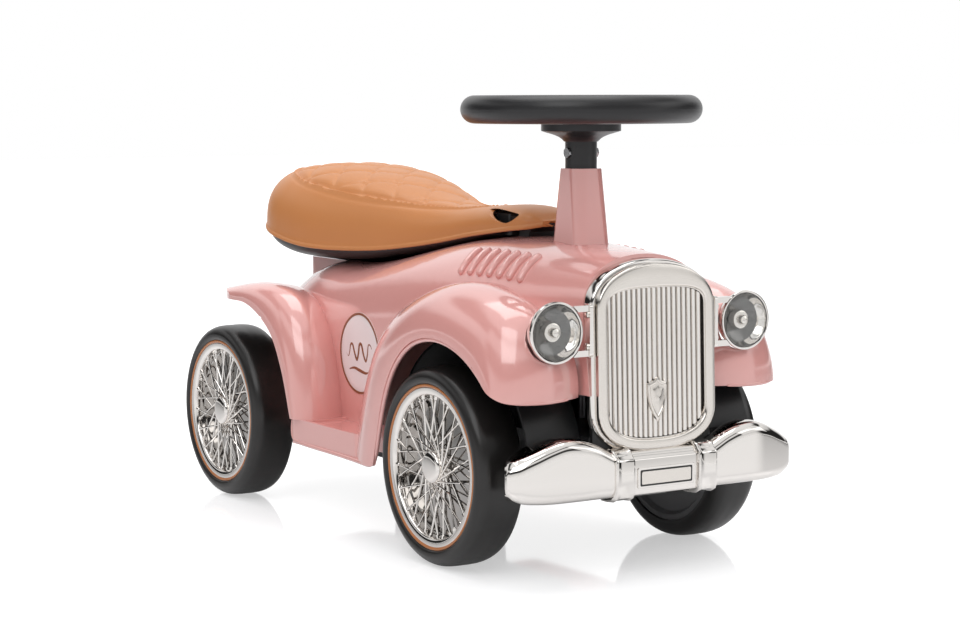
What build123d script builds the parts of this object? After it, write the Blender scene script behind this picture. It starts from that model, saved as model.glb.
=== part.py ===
from build123d import *

import os
from math import cos, hypot, pi, radians, sin, sqrt, tan

os.makedirs("parts", exist_ok=True)

# Child's ride-on roadster, millimetres.  +Z is up, the nose points along -Y and the
# driver's left is +X.  The origin lies on the floor under the middle of the car.

# ---- running gear --------------------------------------------------------------
wheel_base = 401.0
front_axle_y = -172.5
tyre_radius = 83.5
tyre_width = 44.5
wheel_outer_x = 143.5
tyre_shoulder = 13.0
bead_radius = 69.0
axle_radius = 5.0
wheel_bore_clearance = 0.08
rear_axle_y = front_axle_y + wheel_base
axle_z = tyre_radius
wheel_inner_x = wheel_outer_x - tyre_width

# ---- wheel cover -----------------------------------------------------------------
trim_ring_width = 2.2
trim_ring_depth = 3.0
trim_ring_recess = 1.4
rim_flange_width = 7.5
rim_lip_depth = 9.0
dish_depth = 15.0
dish_wall = 2.0
hub_flange_radius = 15.0
hub_cap_radius = 12.0
hub_cap_length = 19.0
spoke_pairs = 15
spoke_width = 1.9
spoke_sweep = 62.0
spoke_root_radius = 13.0
core_thickness = 4.0
core_hub_radius = 17.0
core_recess = 2.0
spacer_radius = 8.0

# ---- steering gear ---------------------------------------------------------------
steer_axis_y = -187.5
kingpin_x = 88.0
kingpin_radius = 3.5
kingpin_clearance = 0.06
knuckle_radius = 7.5
knuckle_height = 32.0
knuckle_end_play = 0.3
steering_arm_length = 35.0
steering_arm_thickness = 5.0
steering_arm_drop = 9.0
link_pin_radius = 2.5
link_pin_clearance = 0.08
tie_rod_width = 9.0
tie_rod_thickness = 4.0
shaft_radius = 5.0
shaft_clearance = 0.08
column_radius = 13.5
column_clearance = 0.1
column_guide_length = 24.0
column_bottom_z = 285.0
column_top_z = 351.0
clamp_screw_z = 341.5
clamp_screw_radius = 2.2
screw_seat_x = 12.6
screw_head_radius = 4.2
screw_head_height = 2.6
nut_width = 7.6
nut_thickness = 3.4
crank_thickness = 6.0
beam_web = 8.0
kingpin_head = 2.0
column_boss_radius = 13.0
spindle_base_radius = 8.0
wheel_face_gap = 0.3
crank_width = 13.0

# ---- steering wheel --------------------------------------------------------------
steering_wheel_radius = 102.0
steering_rim_radius = 11.8
steering_wheel_top_z = 390.0
hub_bowl_bottom_radius = 14.5
hub_bowl_radius = 33.8
hub_bowl_rise = 9.0
hub_skirt = 6.0
hub_wall = 2.5
spoke_bar_width = 30.0
spoke_bar_height = 12.0
horn_radius = 17.0
music_button_radius = 6.0
button_height = 7.0
button_travel = 2.5
button_clearance = 0.3
pad_top_z = 383.0
pad_radius = 30.0
music_button_x = 52.0
button_dish = 1.0

# ---- body shell ------------------------------------------------------------------
body_wall = 3.0
body_bottom_z = 70.0
nose_y = -290.0
nose_edge_y = -289.0
nose_edge_lean = 7.1
nose_half_width = 62.0
nose_shoulder_z = 217.0
nose_top_z = 258.3
nose_cut_z = 150.0
nose_squareness = 2.05
door_half_width = 95.0
deck_top_z = 231.5

# ---- fenders ---------------------------------------------------------------------
fender_wall = 3.0
fender_crest_x = 101.0
fender_front_z = 148.0
fender_foot_y = -72.5
foot_round = 10.0
rear_crest_x = 119.0
rear_inner_x = 90.0
rear_tip_y = 237.0
rear_tongue_x = 112.0
rear_tongue_y = 190.0
rear_tongue_half_width = 32.0
rear_trim_y = 132.0
rear_trim_z = 184.0
board_outer_x = 138.0
board_top_z = 94.0
board_bottom_z = 70.5
board_rear_y = 88.0
board_front_y = -46.0
board_lip = 2.2
board_lip_width = 4.0
tread_rear_y = 54.0
liner_radius = 104.0
liner_wall = 2.4
liner_inner_x = 61.0
liner_outer_x = 112.0

# ---- chassis ---------------------------------------------------------------------
pan_thickness = 4.0
pan_z = 62.5
pan_half_width = 86.0
pan_rim_height = 13.0
pan_rear_y = 268.0
bulkhead_y = -44.0
front_floor_z = 112.0
front_floor_y = -287.0
front_floor_half_width = 61.0
beam_height = 11.0
beam_depth = 24.0
ear_radius = 8.0
ear_thickness = 6.0
bearing_x = 66.0
bearing_width = 12.0
bearing_radius = 10.0
front_wall_thickness = 4.0
front_wall_bottom_z = 80.0
front_wall_overlap = 0.4
bin_post_radius = 5.0
bin_post_x = 26.0
pan_rear_half_width = 52.0
pan_taper_y = 150.0

clear_width = 700.0

# ---- steering cowl ---------------------------------------------------------------
cowl_base_z = 255.0
cowl_top_z = 328.5
cowl_base_size = (36.0, 46.0)
cowl_top_size = (31.0, 33.0)
cowl_base_round = 9.0
cowl_top_round = 12.0
cowl_wall = 2.5
cowl_hollow_base_size = (31.0, 41.0)
cowl_hollow_top_size = (28.4, 31.0)

# ---- grille ----------------------------------------------------------------------
grille_front_y = -300.2
grille_bottom_z = 102.5
grille_height = 152.5
grille_half_width = 58.6
grille_shoulder_z = 219.0
grille_squareness = 2.1
grille_frame_depth = 7.0
grille_chamfer = 1.6
grille_lean = 1.75
grille_foot_height = 34.5
grille_foot_squareness = 2.3
window_half_width = 48.6
window_bottom = 10.5
window_shoulder = 116.0
window_top = 132.5
window_squareness = 3.2
window_foot_height = 37.0
window_foot_squareness = 2.6
surround_half_width = 61.5
surround_depth = 34.0
surround_wall = 3.0
bar_count = 19
bar_pitch = 5.0
bar_radius = 2.1
bar_plate = 2.0
bar_plate_gap = 0.3
ornament_half_width = 9.4
ornament_bottom = 23.5
ornament_side = 38.0
ornament_shoulder = 54.2
ornament_top = 59.7
ornament_thickness = 4.0
ornament_taper = 0.72
ornament_side_share = 0.86

# ---- bumper ----------------------------------------------------------------------
bumper_front_y = -312.0
bumper_wall = 2.5
band_inner_x = 33.0
band_outer_x = 50.0
band_proud = 3.0
bumper_end_x = 143.0
bumper_plate_half_width = 27.0
bumper_plate_z = (75.3, 91.0)
bumper_plate_thickness = 1.2
bumper_back_y = -289.5
wing_hollow_reach = 8.0
wing_foot_round = 8.0
wing_crest_round = 9.0
wing_crest_depth = 13.0
leg_x = (32.0, 44.0)
leg_z = (84.0, 99.0)
foot_clearance = 0.4

# ---- headlamps -------------------------------------------------------------------
lamp_x = 94.9
lamp_y = -292.0
lamp_z = 202.9
lamp_radius = 25.0
lamp_wall = 1.8
lamp_depth = 31.0
lamp_ring_width = 3.0
lens_thickness = 1.6
bulb_base_radius = 8.0
bulb_radius = 3.8
lamp_drum = 8.0
lamp_back_radius = 12.0
lamp_seat_gap = 0.3
reflector_depth = 13.0
bracket_plate = 3.0
bracket_reach = 16.0
bracket_z = (185.0, 221.0)
bracket_y = -289.5
bracket_pad_width = 7.5
bracket_arm_height = 5.0
bracket_arm_y = -292.0
bracket_arm_depth = 6.0

# ---- storage bin and seat ----------------------------------------------------------
collar_half_width = 47.0
collar_front_y = 44.0
collar_rear_y = 219.0
collar_top_z = 232.6
collar_wall = 3.0
collar_corner = 12.0
collar_foot_z = 176.0
bin_clearance = 0.3
bin_wall = 2.5
bin_floor_z = 104.0
bin_drop = 3.0
hinge_y = -138.0
hinge_z = 281.5
hinge_pin_radius = 2.5
hinge_clearance = 0.08
hinge_head_radius = 5.0
hinge_block_half_width = 14.0
hinge_side_gap = 0.3
hinge_lug_width = 4.5
seat_wall = 3.0
seat_rear_y = 198.0
seat_rear_radius = 92.0
seat_rear_rim_z = 270.0
seat_squareness = 2.7
seat_bead = 4.6
seat_bead_shoulder = 3.0
seat_bead_proud = 1.6
seat_crown_z = 325.0
seat_wide_rim_z = 253.0
rear_angles = (0, 18, 36, 52, 66, 77, 86)
tray_wall = 2.5
tray_gap = 0.3
tray_top_rise = 1.5
boss_radius = 5.0
boss_seat_z = 264.0
neck_box_y = (-109.0, -88.0)
neck_box_half_width = 21.0
neck_box_bottom_z = 268.6
neck_box_top_z = 287.0
neck_opening = [(-86, 289.5), (-122, 279.6), (-131, 279.6), (-136, 285), (-134, 289.5)]


def save(builder, name):
    """Labels a finished piece and writes its STEP file."""
    builder.part.label = name
    export_step(builder.part, f"parts/{name}.step")


def save_pair(builder, name, seat=None):
    """Writes the +X piece as left and its mirror image as right, cut to sit on `seat`."""
    pieces = {"left": builder.part, "right": mirror(builder.part, about=Plane.YZ)}
    for side, piece in pieces.items():
        fitted = piece - seat if seat else piece
        fitted.label = f"{name}_{side}"
        export_step(fitted, f"parts/{name}_{side}.step")


def facing_front(y):
    """Section plane across the car: local x is +X, local y is +Z."""
    return Plane.XZ.offset(-y)


def facing_side(x):
    """Section plane along the car: local x is +Y, local y is +Z."""
    return Plane.YZ.offset(x)


def arch(half_width, shoulder, top, squareness):
    """Two Bezier quarters that rise from both shoulders to the crown in the current line."""
    pull = (8 * 2 ** (-1 / squareness) - 4) / 3
    for side in (-1, 1):
        half = side * half_width
        Bezier((half, shoulder), (half, shoulder + (top - shoulder) * pull), (half * pull, top), (0, top))


def inset_path(points, distance):
    """Moves each point of an open outline sideways, to the right of its direction."""
    moved = []
    for index, (u, v) in enumerate(points):
        before = points[max(index - 1, 0)]
        after = points[min(index + 1, len(points) - 1)]
        du, dv = after[0] - before[0], after[1] - before[1]
        length = hypot(du, dv)
        moved.append((u + distance * dv / length, v - distance * du / length))
    return moved


lean_angle = radians(grille_lean)
grille_plane = Plane(
    origin=(0, grille_front_y, grille_bottom_z),
    x_dir=(1, 0, 0),
    z_dir=(0, -cos(lean_angle), sin(lean_angle)),
)


def frame_outline(margin, depth):
    """Outline of the grille frame drawn `margin` inside it, `depth` behind its front face."""
    half = grille_half_width - margin
    shoulder = grille_shoulder_z - grille_bottom_z
    with BuildSketch(grille_plane.offset(-depth)) as outline:
        with BuildLine():
            arch(half, shoulder, grille_height - margin, grille_squareness)
            for side in (-1, 1):
                Line((side * half, shoulder), (side * half, grille_foot_height))
            arch(half, grille_foot_height, margin, grille_foot_squareness)
        make_face()
    return outline.sketch


shell_margin = grille_half_width - surround_half_width
nose_lean_angle = radians(nose_edge_lean)
nose_top_reach = (nose_top_z + 20 - nose_cut_z) * tan(nose_lean_angle)

# Everything in front of the nose edge: upright below the flanks, leaning back above them.
with BuildPart() as nose_front:
    with BuildSketch(facing_side(-clear_width / 2)) as nose_profile:
        with BuildLine():
            Polyline(
                (nose_edge_y, 0),
                (nose_edge_y, nose_cut_z),
                (nose_edge_y + nose_top_reach, nose_top_z + 20),
                (nose_edge_y - 60, nose_top_z + 20),
                (nose_edge_y - 60, 0),
                close=True,
            )
        make_face()
    extrude(amount=clear_width)

# ======================================================================================
# Body shell: hood, door sides and sloping tail lofted through cross sections
# ======================================================================================
# Each station: y, half width, shoulder height, crown height, squareness of the arch.
body_stations = [
    (nose_y, nose_half_width, nose_shoulder_z, nose_top_z, nose_squareness),
    (-235.0, 74.0, 208.0, 264.0, 2.35),
    (-172.0, 87.5, 198.0, 267.5, 2.5),
    (-105.0, 93.0, 190.0, 267.5, 2.6),
    (-45.0, door_half_width, 184.0, 259.5, 2.7),
    (30.0, door_half_width, 176.0, 244.5, 2.9),
    (100.0, 94.0, 165.0, deck_top_z + 4.5, 3.2),
    (165.0, 90.0, 142.0, deck_top_z, 3.4),
    (212.0, 84.0, 124.0, 215.0, 3.1),
    (250.0, 75.0, 110.0, 192.0, 2.8),
    (278.0, 61.0, 98.0, 162.0, 2.5),
    (297.0, 40.0, 90.0, 124.0, 2.3),
    (303.0, 22.0, 84.0, 100.0, 2.2),
]


def body_section(station, wall):
    """One closed cross section of the body, drawn `wall` inside the outer skin."""
    y, half_width, shoulder, top, squareness = station
    half = half_width - wall
    floor = body_bottom_z - (20.0 if wall else 0.0)
    with BuildSketch(facing_front(y)) as section:
        with BuildLine():
            Polyline((-half, shoulder), (-half, floor), (half, floor), (half, shoulder))
            arch(half, shoulder, top - wall, squareness)
        make_face()
    return section.sketch


with BuildPart() as body_form:
    loft(sections=[body_section(station, 0.0) for station in body_stations])

hollow_stations = [(nose_y - 1.0,) + body_stations[0][1:]] + body_stations[1:-1]
with BuildPart() as body_hollow:
    loft(sections=[body_section(station, body_wall) for station in hollow_stations])

collar_length = collar_rear_y - collar_front_y
collar_mid_y = (collar_rear_y + collar_front_y) / 2

with BuildPart() as body_shell:
    add(body_form.part)
    add(body_hollow.part, mode=Mode.SUBTRACT)
    # raised collar round the storage opening
    with BuildSketch(Plane.XY.offset(collar_foot_z)) as collar_plan:
        with Locations((0, collar_mid_y)):
            RectangleRounded(2 * collar_half_width, collar_length, collar_corner)
    extrude(amount=collar_top_z - collar_foot_z)
    with BuildSketch(Plane.XY.offset(collar_foot_z - 5)) as collar_hole:
        with Locations((0, collar_mid_y)):
            RectangleRounded(
                2 * (collar_half_width - collar_wall),
                collar_length - 2 * collar_wall,
                collar_corner - collar_wall,
            )
    extrude(amount=150, mode=Mode.SUBTRACT)
    # wheel arches for the steered wheels, rear axle holes, low front cut-away
    for side in (-1, 1):
        with BuildSketch(facing_side(side * liner_inner_x)) as arch_cut:
            with Locations((front_axle_y, axle_z)):
                Circle(liner_radius + liner_wall)
        extrude(amount=side * 60, mode=Mode.SUBTRACT)
        with BuildSketch(facing_side(side * 50.0)) as axle_cut:
            with Locations((rear_axle_y, axle_z)):
                Circle(bearing_radius + 1.5)
            with Locations((rear_axle_y, axle_z - 15)):
                Rectangle(2 * bearing_radius + 3, 30)
        extrude(amount=side * 60, mode=Mode.SUBTRACT)
    with BuildSketch(facing_side(-120.0)) as nose_cut:
        with BuildLine():
            Polyline(
                (nose_y - 5, 0),
                (nose_y - 5, nose_cut_z),
                (front_axle_y - 70, nose_cut_z),
                (front_axle_y - 40, front_floor_z + pan_thickness + 0.2),
                (bulkhead_y - 6, front_floor_z + pan_thickness + 0.2),
                (bulkhead_y - 6, 0),
                close=True,
            )
        make_face()
    extrude(amount=240, mode=Mode.SUBTRACT)
    # the nose edge leans back towards the top
    add(nose_front.part, mode=Mode.SUBTRACT)
    # steering column passes through the hood under the cowl
    with BuildSketch(Plane.XY.offset(cowl_base_z - 10)) as column_hole:
        with Locations((0, steer_axis_y)):
            Circle(column_radius + 4)
    extrude(amount=40, mode=Mode.SUBTRACT)

save(body_shell, "body_shell")

# ======================================================================================
# Steering cowl: tapered pedestal that stands on the hood and guides the column
# ======================================================================================
with BuildPart() as steering_cowl:
    for mode, outline_list in (
        (Mode.ADD, (
            (cowl_base_z, cowl_base_size, cowl_base_round),
            (cowl_top_z, cowl_top_size, cowl_top_round),
        )),
        (Mode.SUBTRACT, (
            (cowl_base_z, cowl_hollow_base_size, cowl_base_round - cowl_wall),
            (cowl_top_z - column_guide_length, cowl_hollow_top_size, cowl_base_round),
        )),
    ):
        for z, size, corner in outline_list:
            with BuildSketch(Plane.XY.offset(z)) as outline:
                with Locations((0, steer_axis_y)):
                    RectangleRounded(size[0], size[1], corner)
        loft(mode=mode)
    with BuildSketch(Plane.XY.offset(cowl_top_z - column_guide_length - 10)) as column_guide:
        with Locations((0, steer_axis_y)):
            Circle(column_radius + column_clearance)
    extrude(amount=column_guide_length + 15, mode=Mode.SUBTRACT)
    add(body_form.part, mode=Mode.SUBTRACT)
save(steering_cowl, "steering_cowl")

# ======================================================================================
# Headlamps
# ======================================================================================
lamp_axis = Axis((lamp_x, lamp_y, lamp_z), (0, 1, 0))
lamp_plane = Plane(origin=(lamp_x, lamp_y, lamp_z), x_dir=(0, 1, 0), z_dir=(0, 0, 1))


def turned(points):
    """Solid turned about the lamp axis; points are (distance back, radius)."""
    with BuildPart() as solid:
        with BuildSketch(lamp_plane):
            with BuildLine():
                Polyline(*points, close=True)
            make_face()
        revolve(axis=lamp_axis)
    return solid


lens_seat = lamp_radius - lamp_wall
headlamp_shell = turned([
    (0, lamp_radius - 1), (1, lamp_radius), (lamp_drum, lamp_radius), (lamp_depth - 16, lamp_radius - 4),
    (lamp_depth - 9, lamp_back_radius), (lamp_depth - 9, 0), (lamp_depth - 9 - lamp_wall, 0),
    (lamp_depth - 9 - lamp_wall, lamp_back_radius - lamp_wall),
    (lamp_depth - 16, lamp_radius - 4 - lamp_wall), (lamp_drum, lens_seat), (2.4, lens_seat),
    (2.4, lamp_radius - lamp_ring_width), (0, lamp_radius - lamp_ring_width),
])
save_pair(headlamp_shell, "headlamp_shell")

headlamp_lens = turned([
    (2.4, lens_seat), (2.4, lamp_radius - lamp_ring_width), (0.2, 12), (-0.4, 0),
    (-0.4 + lens_thickness, 0), (0.2 + lens_thickness, 12), (2.4 + lens_thickness, 20),
    (2.4 + lens_thickness, lens_seat),
])
save_pair(headlamp_lens, "headlamp_lens")

dish_front = 2.4 + lens_thickness
headlamp_reflector = turned([
    (dish_front, lens_seat), (dish_front + 2, lens_seat), (reflector_depth + 1.5, bulb_base_radius + 2),
    (reflector_depth + 1.5, 0), (reflector_depth, 0), (reflector_depth, bulb_base_radius + 1),
    (dish_front, lens_seat - 1.6),
])
save_pair(headlamp_reflector, "headlamp_reflector")

headlamp_bulb = turned([
    (reflector_depth, 0), (reflector_depth, bulb_base_radius), (reflector_depth - 2, bulb_base_radius),
    (reflector_depth - 2, bulb_radius), (4.2, bulb_radius), (2.6, bulb_radius - 1.6), (2.6, 0),
])
save_pair(headlamp_bulb, "headlamp_bulb")

lamp_envelope = turned([
    (-3, 0), (-3, lamp_radius + lamp_seat_gap), (lamp_drum, lamp_radius + lamp_seat_gap),
    (lamp_depth - 16, lamp_radius - 4 + lamp_seat_gap),
    (lamp_depth - 9 + lamp_seat_gap, lamp_back_radius + lamp_seat_gap), (lamp_depth - 9 + lamp_seat_gap, 0),
])

# ======================================================================================
# Front fenders with running boards
# ======================================================================================
# Outlines in the (y, z) plane from the front edge over the crest to the running board.
front_crest = [
    (-290, 140), (-290, 164), (-280, 197), (-261, 220), (-231, 231), (-172, 236),
    (-118, 224), (-80, 207), (-50, 182), (-30, 150), (-16, 115), (-8, 88), (-4, 60),
]
front_lip = [
    (-264, 140), (-262, 154), (-251.5, 168), (-236, 179.5), (-215, 189), (-184, 194.5),
    (-143, 187.5), (-120, 172.5), (-103, 151.5), (-90.5, 124), (-84.5, 101.5), (-80, 85), (-74, 60),
]
front_valley = [
    (-277, 140), (-279, 163), (-273, 180), (-258, 196), (-230, 212), (-172, 232),
    (-118, 222), (-80, 205), (-50, 180), (-30, 148), (-16, 115), (-8, 88), (-4, 60),
]


# Lower edge of the lobe, from its level front part up into the wheel opening.
front_sweep = [(-283, fender_front_z), (-273, 150.8), (-262, 156), (-251, 165.5), (-242, 174.5)]


def blend(first, second, share):
    """Points part of the way from one outline to another."""
    return [
        (a[0] + (b[0] - a[0]) * share, a[1] + (b[1] - a[1]) * share)
        for a, b in zip(first, second)
    ]


def fender_outline(x, crest_x, outer_x, inner_x, crest, lip, valley, inset):
    """Outline of a fender skin at distance x from the middle of the car."""
    if x >= crest_x:
        reach = min((x - crest_x) / (outer_x - crest_x), 1.0)
        points = blend(crest, lip, 1 - sqrt(1 - reach**2))
    else:
        points = blend(crest, valley, ((crest_x - x) / (crest_x - inner_x)) ** 1.6)
    return inset_path(points, inset) if inset else points


def fender_section(x, points, floor):
    """Closed face below a fender outline, in the side plane at x."""
    with BuildSketch(facing_side(x)) as section:
        with BuildLine():
            Spline(*points)
            Polyline(points[-1], (points[-1][0], floor), (points[0][0], floor), points[0])
        make_face()
    return section.sketch


def fender_solid(crest_x, inner_x, crest, lip, valley, inset, floor):
    """Solid under the outer skin, or the hollow inside it when inset by the wall."""
    outer_x = wheel_outer_x - inset
    inner_steps = [inner_x + (crest_x - inner_x) * share for share in (0.0, 0.35, 0.65, 0.87)]
    outer_steps = [crest_x + (outer_x - crest_x) * share for share in (0, 0.22, 0.45, 0.67, 0.84, 0.94, 1)]
    with BuildPart() as form:
        sections = []
        for x in inner_steps + outer_steps:
            points = fender_outline(x, crest_x, outer_x, inner_x, crest, lip, valley, inset)
            sections.append(fender_section(x, points, floor))
        loft(sections=sections)
        if inset:
            extrude(sections[-1], amount=inset + 2, dir=(1, 0, 0))
    return form.part


board_mid_x = (body_stations[4][1] - 12 + board_outer_x) / 2
board_depth = board_outer_x - (body_stations[4][1] - 12)
board_mid_y = (board_rear_y + board_front_y) / 2
board_length = board_rear_y - board_front_y

with BuildPart() as front_fender:
    add(fender_solid(fender_crest_x, 66.0, front_crest, front_lip, front_valley, 0.0, 40.0))
    with BuildSketch(Plane.XY.offset(board_bottom_z)) as board_plan:
        with Locations((board_mid_x, board_mid_y)):
            RectangleRounded(board_depth, board_length, 9)
    extrude(amount=board_top_z - board_bottom_z)
    add(
        fender_solid(fender_crest_x, 60.0, front_crest, front_lip, front_valley, fender_wall, 30.0),
        mode=Mode.SUBTRACT,
    )
    add(lamp_envelope.part, mode=Mode.SUBTRACT)
    # the board is a tray pressing: recessed tread above, open underneath
    with BuildSketch(Plane.XY.offset(board_top_z - board_lip)) as board_tread:
        with Locations((board_mid_x, (board_front_y + board_lip_width + tread_rear_y) / 2)):
            RectangleRounded(
                board_depth - 2 * board_lip_width, tread_rear_y - board_front_y - board_lip_width, 6
            )
    extrude(amount=board_lip + 1, mode=Mode.SUBTRACT)
    with BuildSketch(Plane.XY.offset(board_bottom_z - 1)) as board_underside:
        with Locations((board_mid_x, board_mid_y)):
            RectangleRounded(board_depth - 2 * fender_wall, board_length - 2 * fender_wall, 7)
    extrude(amount=board_top_z - board_lip - fender_wall - board_bottom_z + 1, mode=Mode.SUBTRACT)
    # trim the lower edges
    with BuildSketch(facing_side(50)) as lower_trim:
        with BuildLine():
            Polyline((board_rear_y + 10, 30), (-300, 30), (-300, fender_front_z), front_sweep[0])
            Spline(*front_sweep, tangents=((1, 0), (0.7, 0.7)))
            Polyline(
                front_sweep[-1],
                (front_axle_y, fender_front_z),
                (front_axle_y, board_bottom_z + foot_round),
                (fender_foot_y - foot_round, board_bottom_z + foot_round),
            )
            Bezier(
                (fender_foot_y - foot_round, board_bottom_z + foot_round),
                (fender_foot_y - foot_round, board_bottom_z),
                (fender_foot_y, board_bottom_z),
            )
            Polyline(
                (fender_foot_y, board_bottom_z),
                (board_rear_y + 10, board_bottom_z),
                (board_rear_y + 10, 30),
            )
        make_face()
    extrude(amount=100, mode=Mode.SUBTRACT)
save_pair(front_fender, "front_fender", seat=body_form.part)

# ======================================================================================
# Rear fenders: flared wings that spring from the running boards
# ======================================================================================
rear_crest = [
    (244, 190), (240, 201), (225, 206), (200, 210), (172, 213), (146, 213), (120, 209),
    (100, 199), (84, 181), (71, 156), (63, 128), (58, 100), (56, 80),
]
rear_lip = [
    (244, 186), (240, 196), (226, 198), (210, 198.5), (192, 198.5), (171, 198), (147, 192),
    (126, 182), (109, 169), (96, 151), (85, 129), (76, 104), (66, 80),
]
rear_valley = [
    (244, 186), (240, 195), (225, 199), (205, 202), (185, 203), (162, 202), (140, 193.5),
    (122, 183), (106, 169), (95, 152), (88, 132), (82, 110), (80, 80),
]
rear_crest, rear_lip, rear_valley = (line[::-1] for line in (rear_crest, rear_lip, rear_valley))

with BuildPart() as rear_fender:
    add(fender_solid(rear_crest_x, rear_inner_x - 18, rear_crest, rear_lip, rear_valley, 0.0, 60.0))
    add(
        fender_solid(
            rear_crest_x, rear_inner_x - 22, rear_crest, rear_lip, rear_valley, fender_wall, 50.0
        ),
        mode=Mode.SUBTRACT,
    )
    # the tip is a rounded tongue in plan
    with BuildSketch(Plane.XY.offset(board_top_z)) as tongue:
        with Locations((rear_tongue_x, (rear_tongue_y + board_front_y) / 2)):
            Rectangle(2 * rear_tongue_half_width, rear_tongue_y - board_front_y)
        with Locations((rear_tongue_x, rear_tongue_y)):
            Ellipse(rear_tongue_half_width, rear_tip_y - rear_tongue_y)
    extrude(amount=200, mode=Mode.INTERSECT)
    # open below the tip, above the wheel
    with BuildSketch(facing_side(50)) as tip_trim:
        with BuildLine():
            Polyline(
                (rear_trim_y, 60),
                (rear_trim_y, rear_trim_z),
                (rear_tip_y + 20, rear_trim_z),
                (rear_tip_y + 20, 60),
                close=True,
            )
        make_face()
    extrude(amount=100, mode=Mode.SUBTRACT)
save_pair(rear_fender, "rear_fender", seat=body_form.part)

# ======================================================================================
# Wheel arch liners and chassis pan
# ======================================================================================
with BuildPart() as wheel_liner:
    with BuildSketch(facing_side(liner_inner_x)) as liner_ring:
        with Locations((front_axle_y, axle_z)):
            Circle(liner_radius + liner_wall)
            Circle(liner_radius, mode=Mode.SUBTRACT)
    extrude(amount=liner_outer_x - liner_inner_x)
    with BuildSketch(facing_side(liner_inner_x)) as liner_side:
        with Locations((front_axle_y, axle_z)):
            Circle(liner_radius + liner_wall)
    extrude(amount=liner_wall)
    with BuildSketch(facing_side(liner_inner_x - 1)) as liner_trim:
        with BuildLine():
            Polyline(
                (front_axle_y - 120, -40),
                (front_axle_y - 120, front_floor_z),
                (front_axle_y + liner_radius - 6, front_floor_z),
                (front_axle_y + liner_radius - 6, pan_z + pan_thickness + 4),
                (front_axle_y + 120, pan_z + pan_thickness + 4),
                (front_axle_y + 120, -40),
                close=True,
            )
        make_face()
    extrude(amount=80, mode=Mode.SUBTRACT)
save_pair(wheel_liner, "wheel_liner")


# wall behind the grille: it closes the nose and carries the grille and the bumper
wall_margin = shell_margin + surround_wall - front_wall_overlap
with BuildPart() as front_wall:
    extrude(frame_outline(wall_margin, surround_depth), amount=2 * surround_depth, both=True)
    with BuildSketch(Plane.XY.offset(grille_bottom_z + grille_foot_height)) as wall_foot:
        with Locations((0, grille_front_y)):
            Rectangle(2 * (grille_half_width - wall_margin), 4 * surround_depth)
    extrude(amount=front_wall_bottom_z - grille_bottom_z - grille_foot_height)
    add(nose_front.part, mode=Mode.SUBTRACT)
    add(nose_front.part.moved(Location((0, front_wall_thickness, 0))), mode=Mode.INTERSECT)

with BuildPart() as chassis_pan:
    with BuildSketch(Plane.XY.offset(pan_z)) as pan_plan:
        with BuildLine():
            Polyline(
                (-pan_half_width, bulkhead_y),
                (pan_half_width, bulkhead_y),
                (pan_half_width, pan_taper_y),
                (pan_rear_half_width, pan_rear_y),
                (-pan_rear_half_width, pan_rear_y),
                (-pan_half_width, pan_taper_y),
                close=True,
            )
        make_face()
        fillet(pan_plan.vertices().group_by(Axis.Y)[-1], 20)
    extrude(amount=pan_rim_height)
    with BuildSketch(Plane.XY.offset(pan_z + pan_thickness)) as pan_inside:
        offset(pan_plan.sketch, amount=-3)
    extrude(amount=pan_rim_height, mode=Mode.SUBTRACT)
    # rear bearing blocks
    for side in (-1, 1):
        with BuildSketch(facing_side(side * bearing_x - bearing_width / 2)) as bearing:
            with BuildLine():
                Polyline(
                    (rear_axle_y - bearing_radius, pan_z + 1),
                    (rear_axle_y + bearing_radius, pan_z + 1),
                    (rear_axle_y + bearing_radius, axle_z),
                    (rear_axle_y - bearing_radius, axle_z),
                    close=True,
                )
            make_face()
            with Locations((rear_axle_y, axle_z)):
                Circle(bearing_radius)
                Circle(axle_radius, mode=Mode.SUBTRACT)
        extrude(amount=bearing_width)
    # posts under the storage bin
    with BuildSketch(Plane.XY.offset(pan_z + 1)) as bin_posts:
        with Locations((0, collar_mid_y)):
            with GridLocations(2 * bin_post_x, collar_length * 0.6, 2, 2):
                Circle(bin_post_radius)
    extrude(amount=bin_floor_z - pan_z - 1)
    # step up to the raised front floor, and the wall behind the grille
    with BuildSketch(Plane.XY.offset(pan_z)) as step_up:
        with Locations((0, bulkhead_y + pan_thickness / 2)):
            Rectangle(2 * liner_inner_x, pan_thickness)
    extrude(amount=front_floor_z + pan_thickness - pan_z)
    with BuildSketch(Plane.XY.offset(front_floor_z)) as front_floor:
        with Locations((0, (front_floor_y + bulkhead_y) / 2)):
            Rectangle(2 * front_floor_half_width, bulkhead_y - front_floor_y)
        with Locations((0, steer_axis_y)):
            Circle(shaft_radius + 1.5, mode=Mode.SUBTRACT)
    extrude(amount=pan_thickness)
    add(front_wall.part)
save(chassis_pan, "chassis_pan")

# ======================================================================================
# Front axle beam, kingpins, knuckles and tie rod
# ======================================================================================
knuckle_top_z = front_floor_z - beam_height - knuckle_end_play
knuckle_bottom_z = knuckle_top_z - knuckle_height
lower_ear_top_z = knuckle_bottom_z - knuckle_end_play
lower_ear_bottom_z = lower_ear_top_z - ear_thickness
beam_bottom_z = front_floor_z - beam_height

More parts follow.
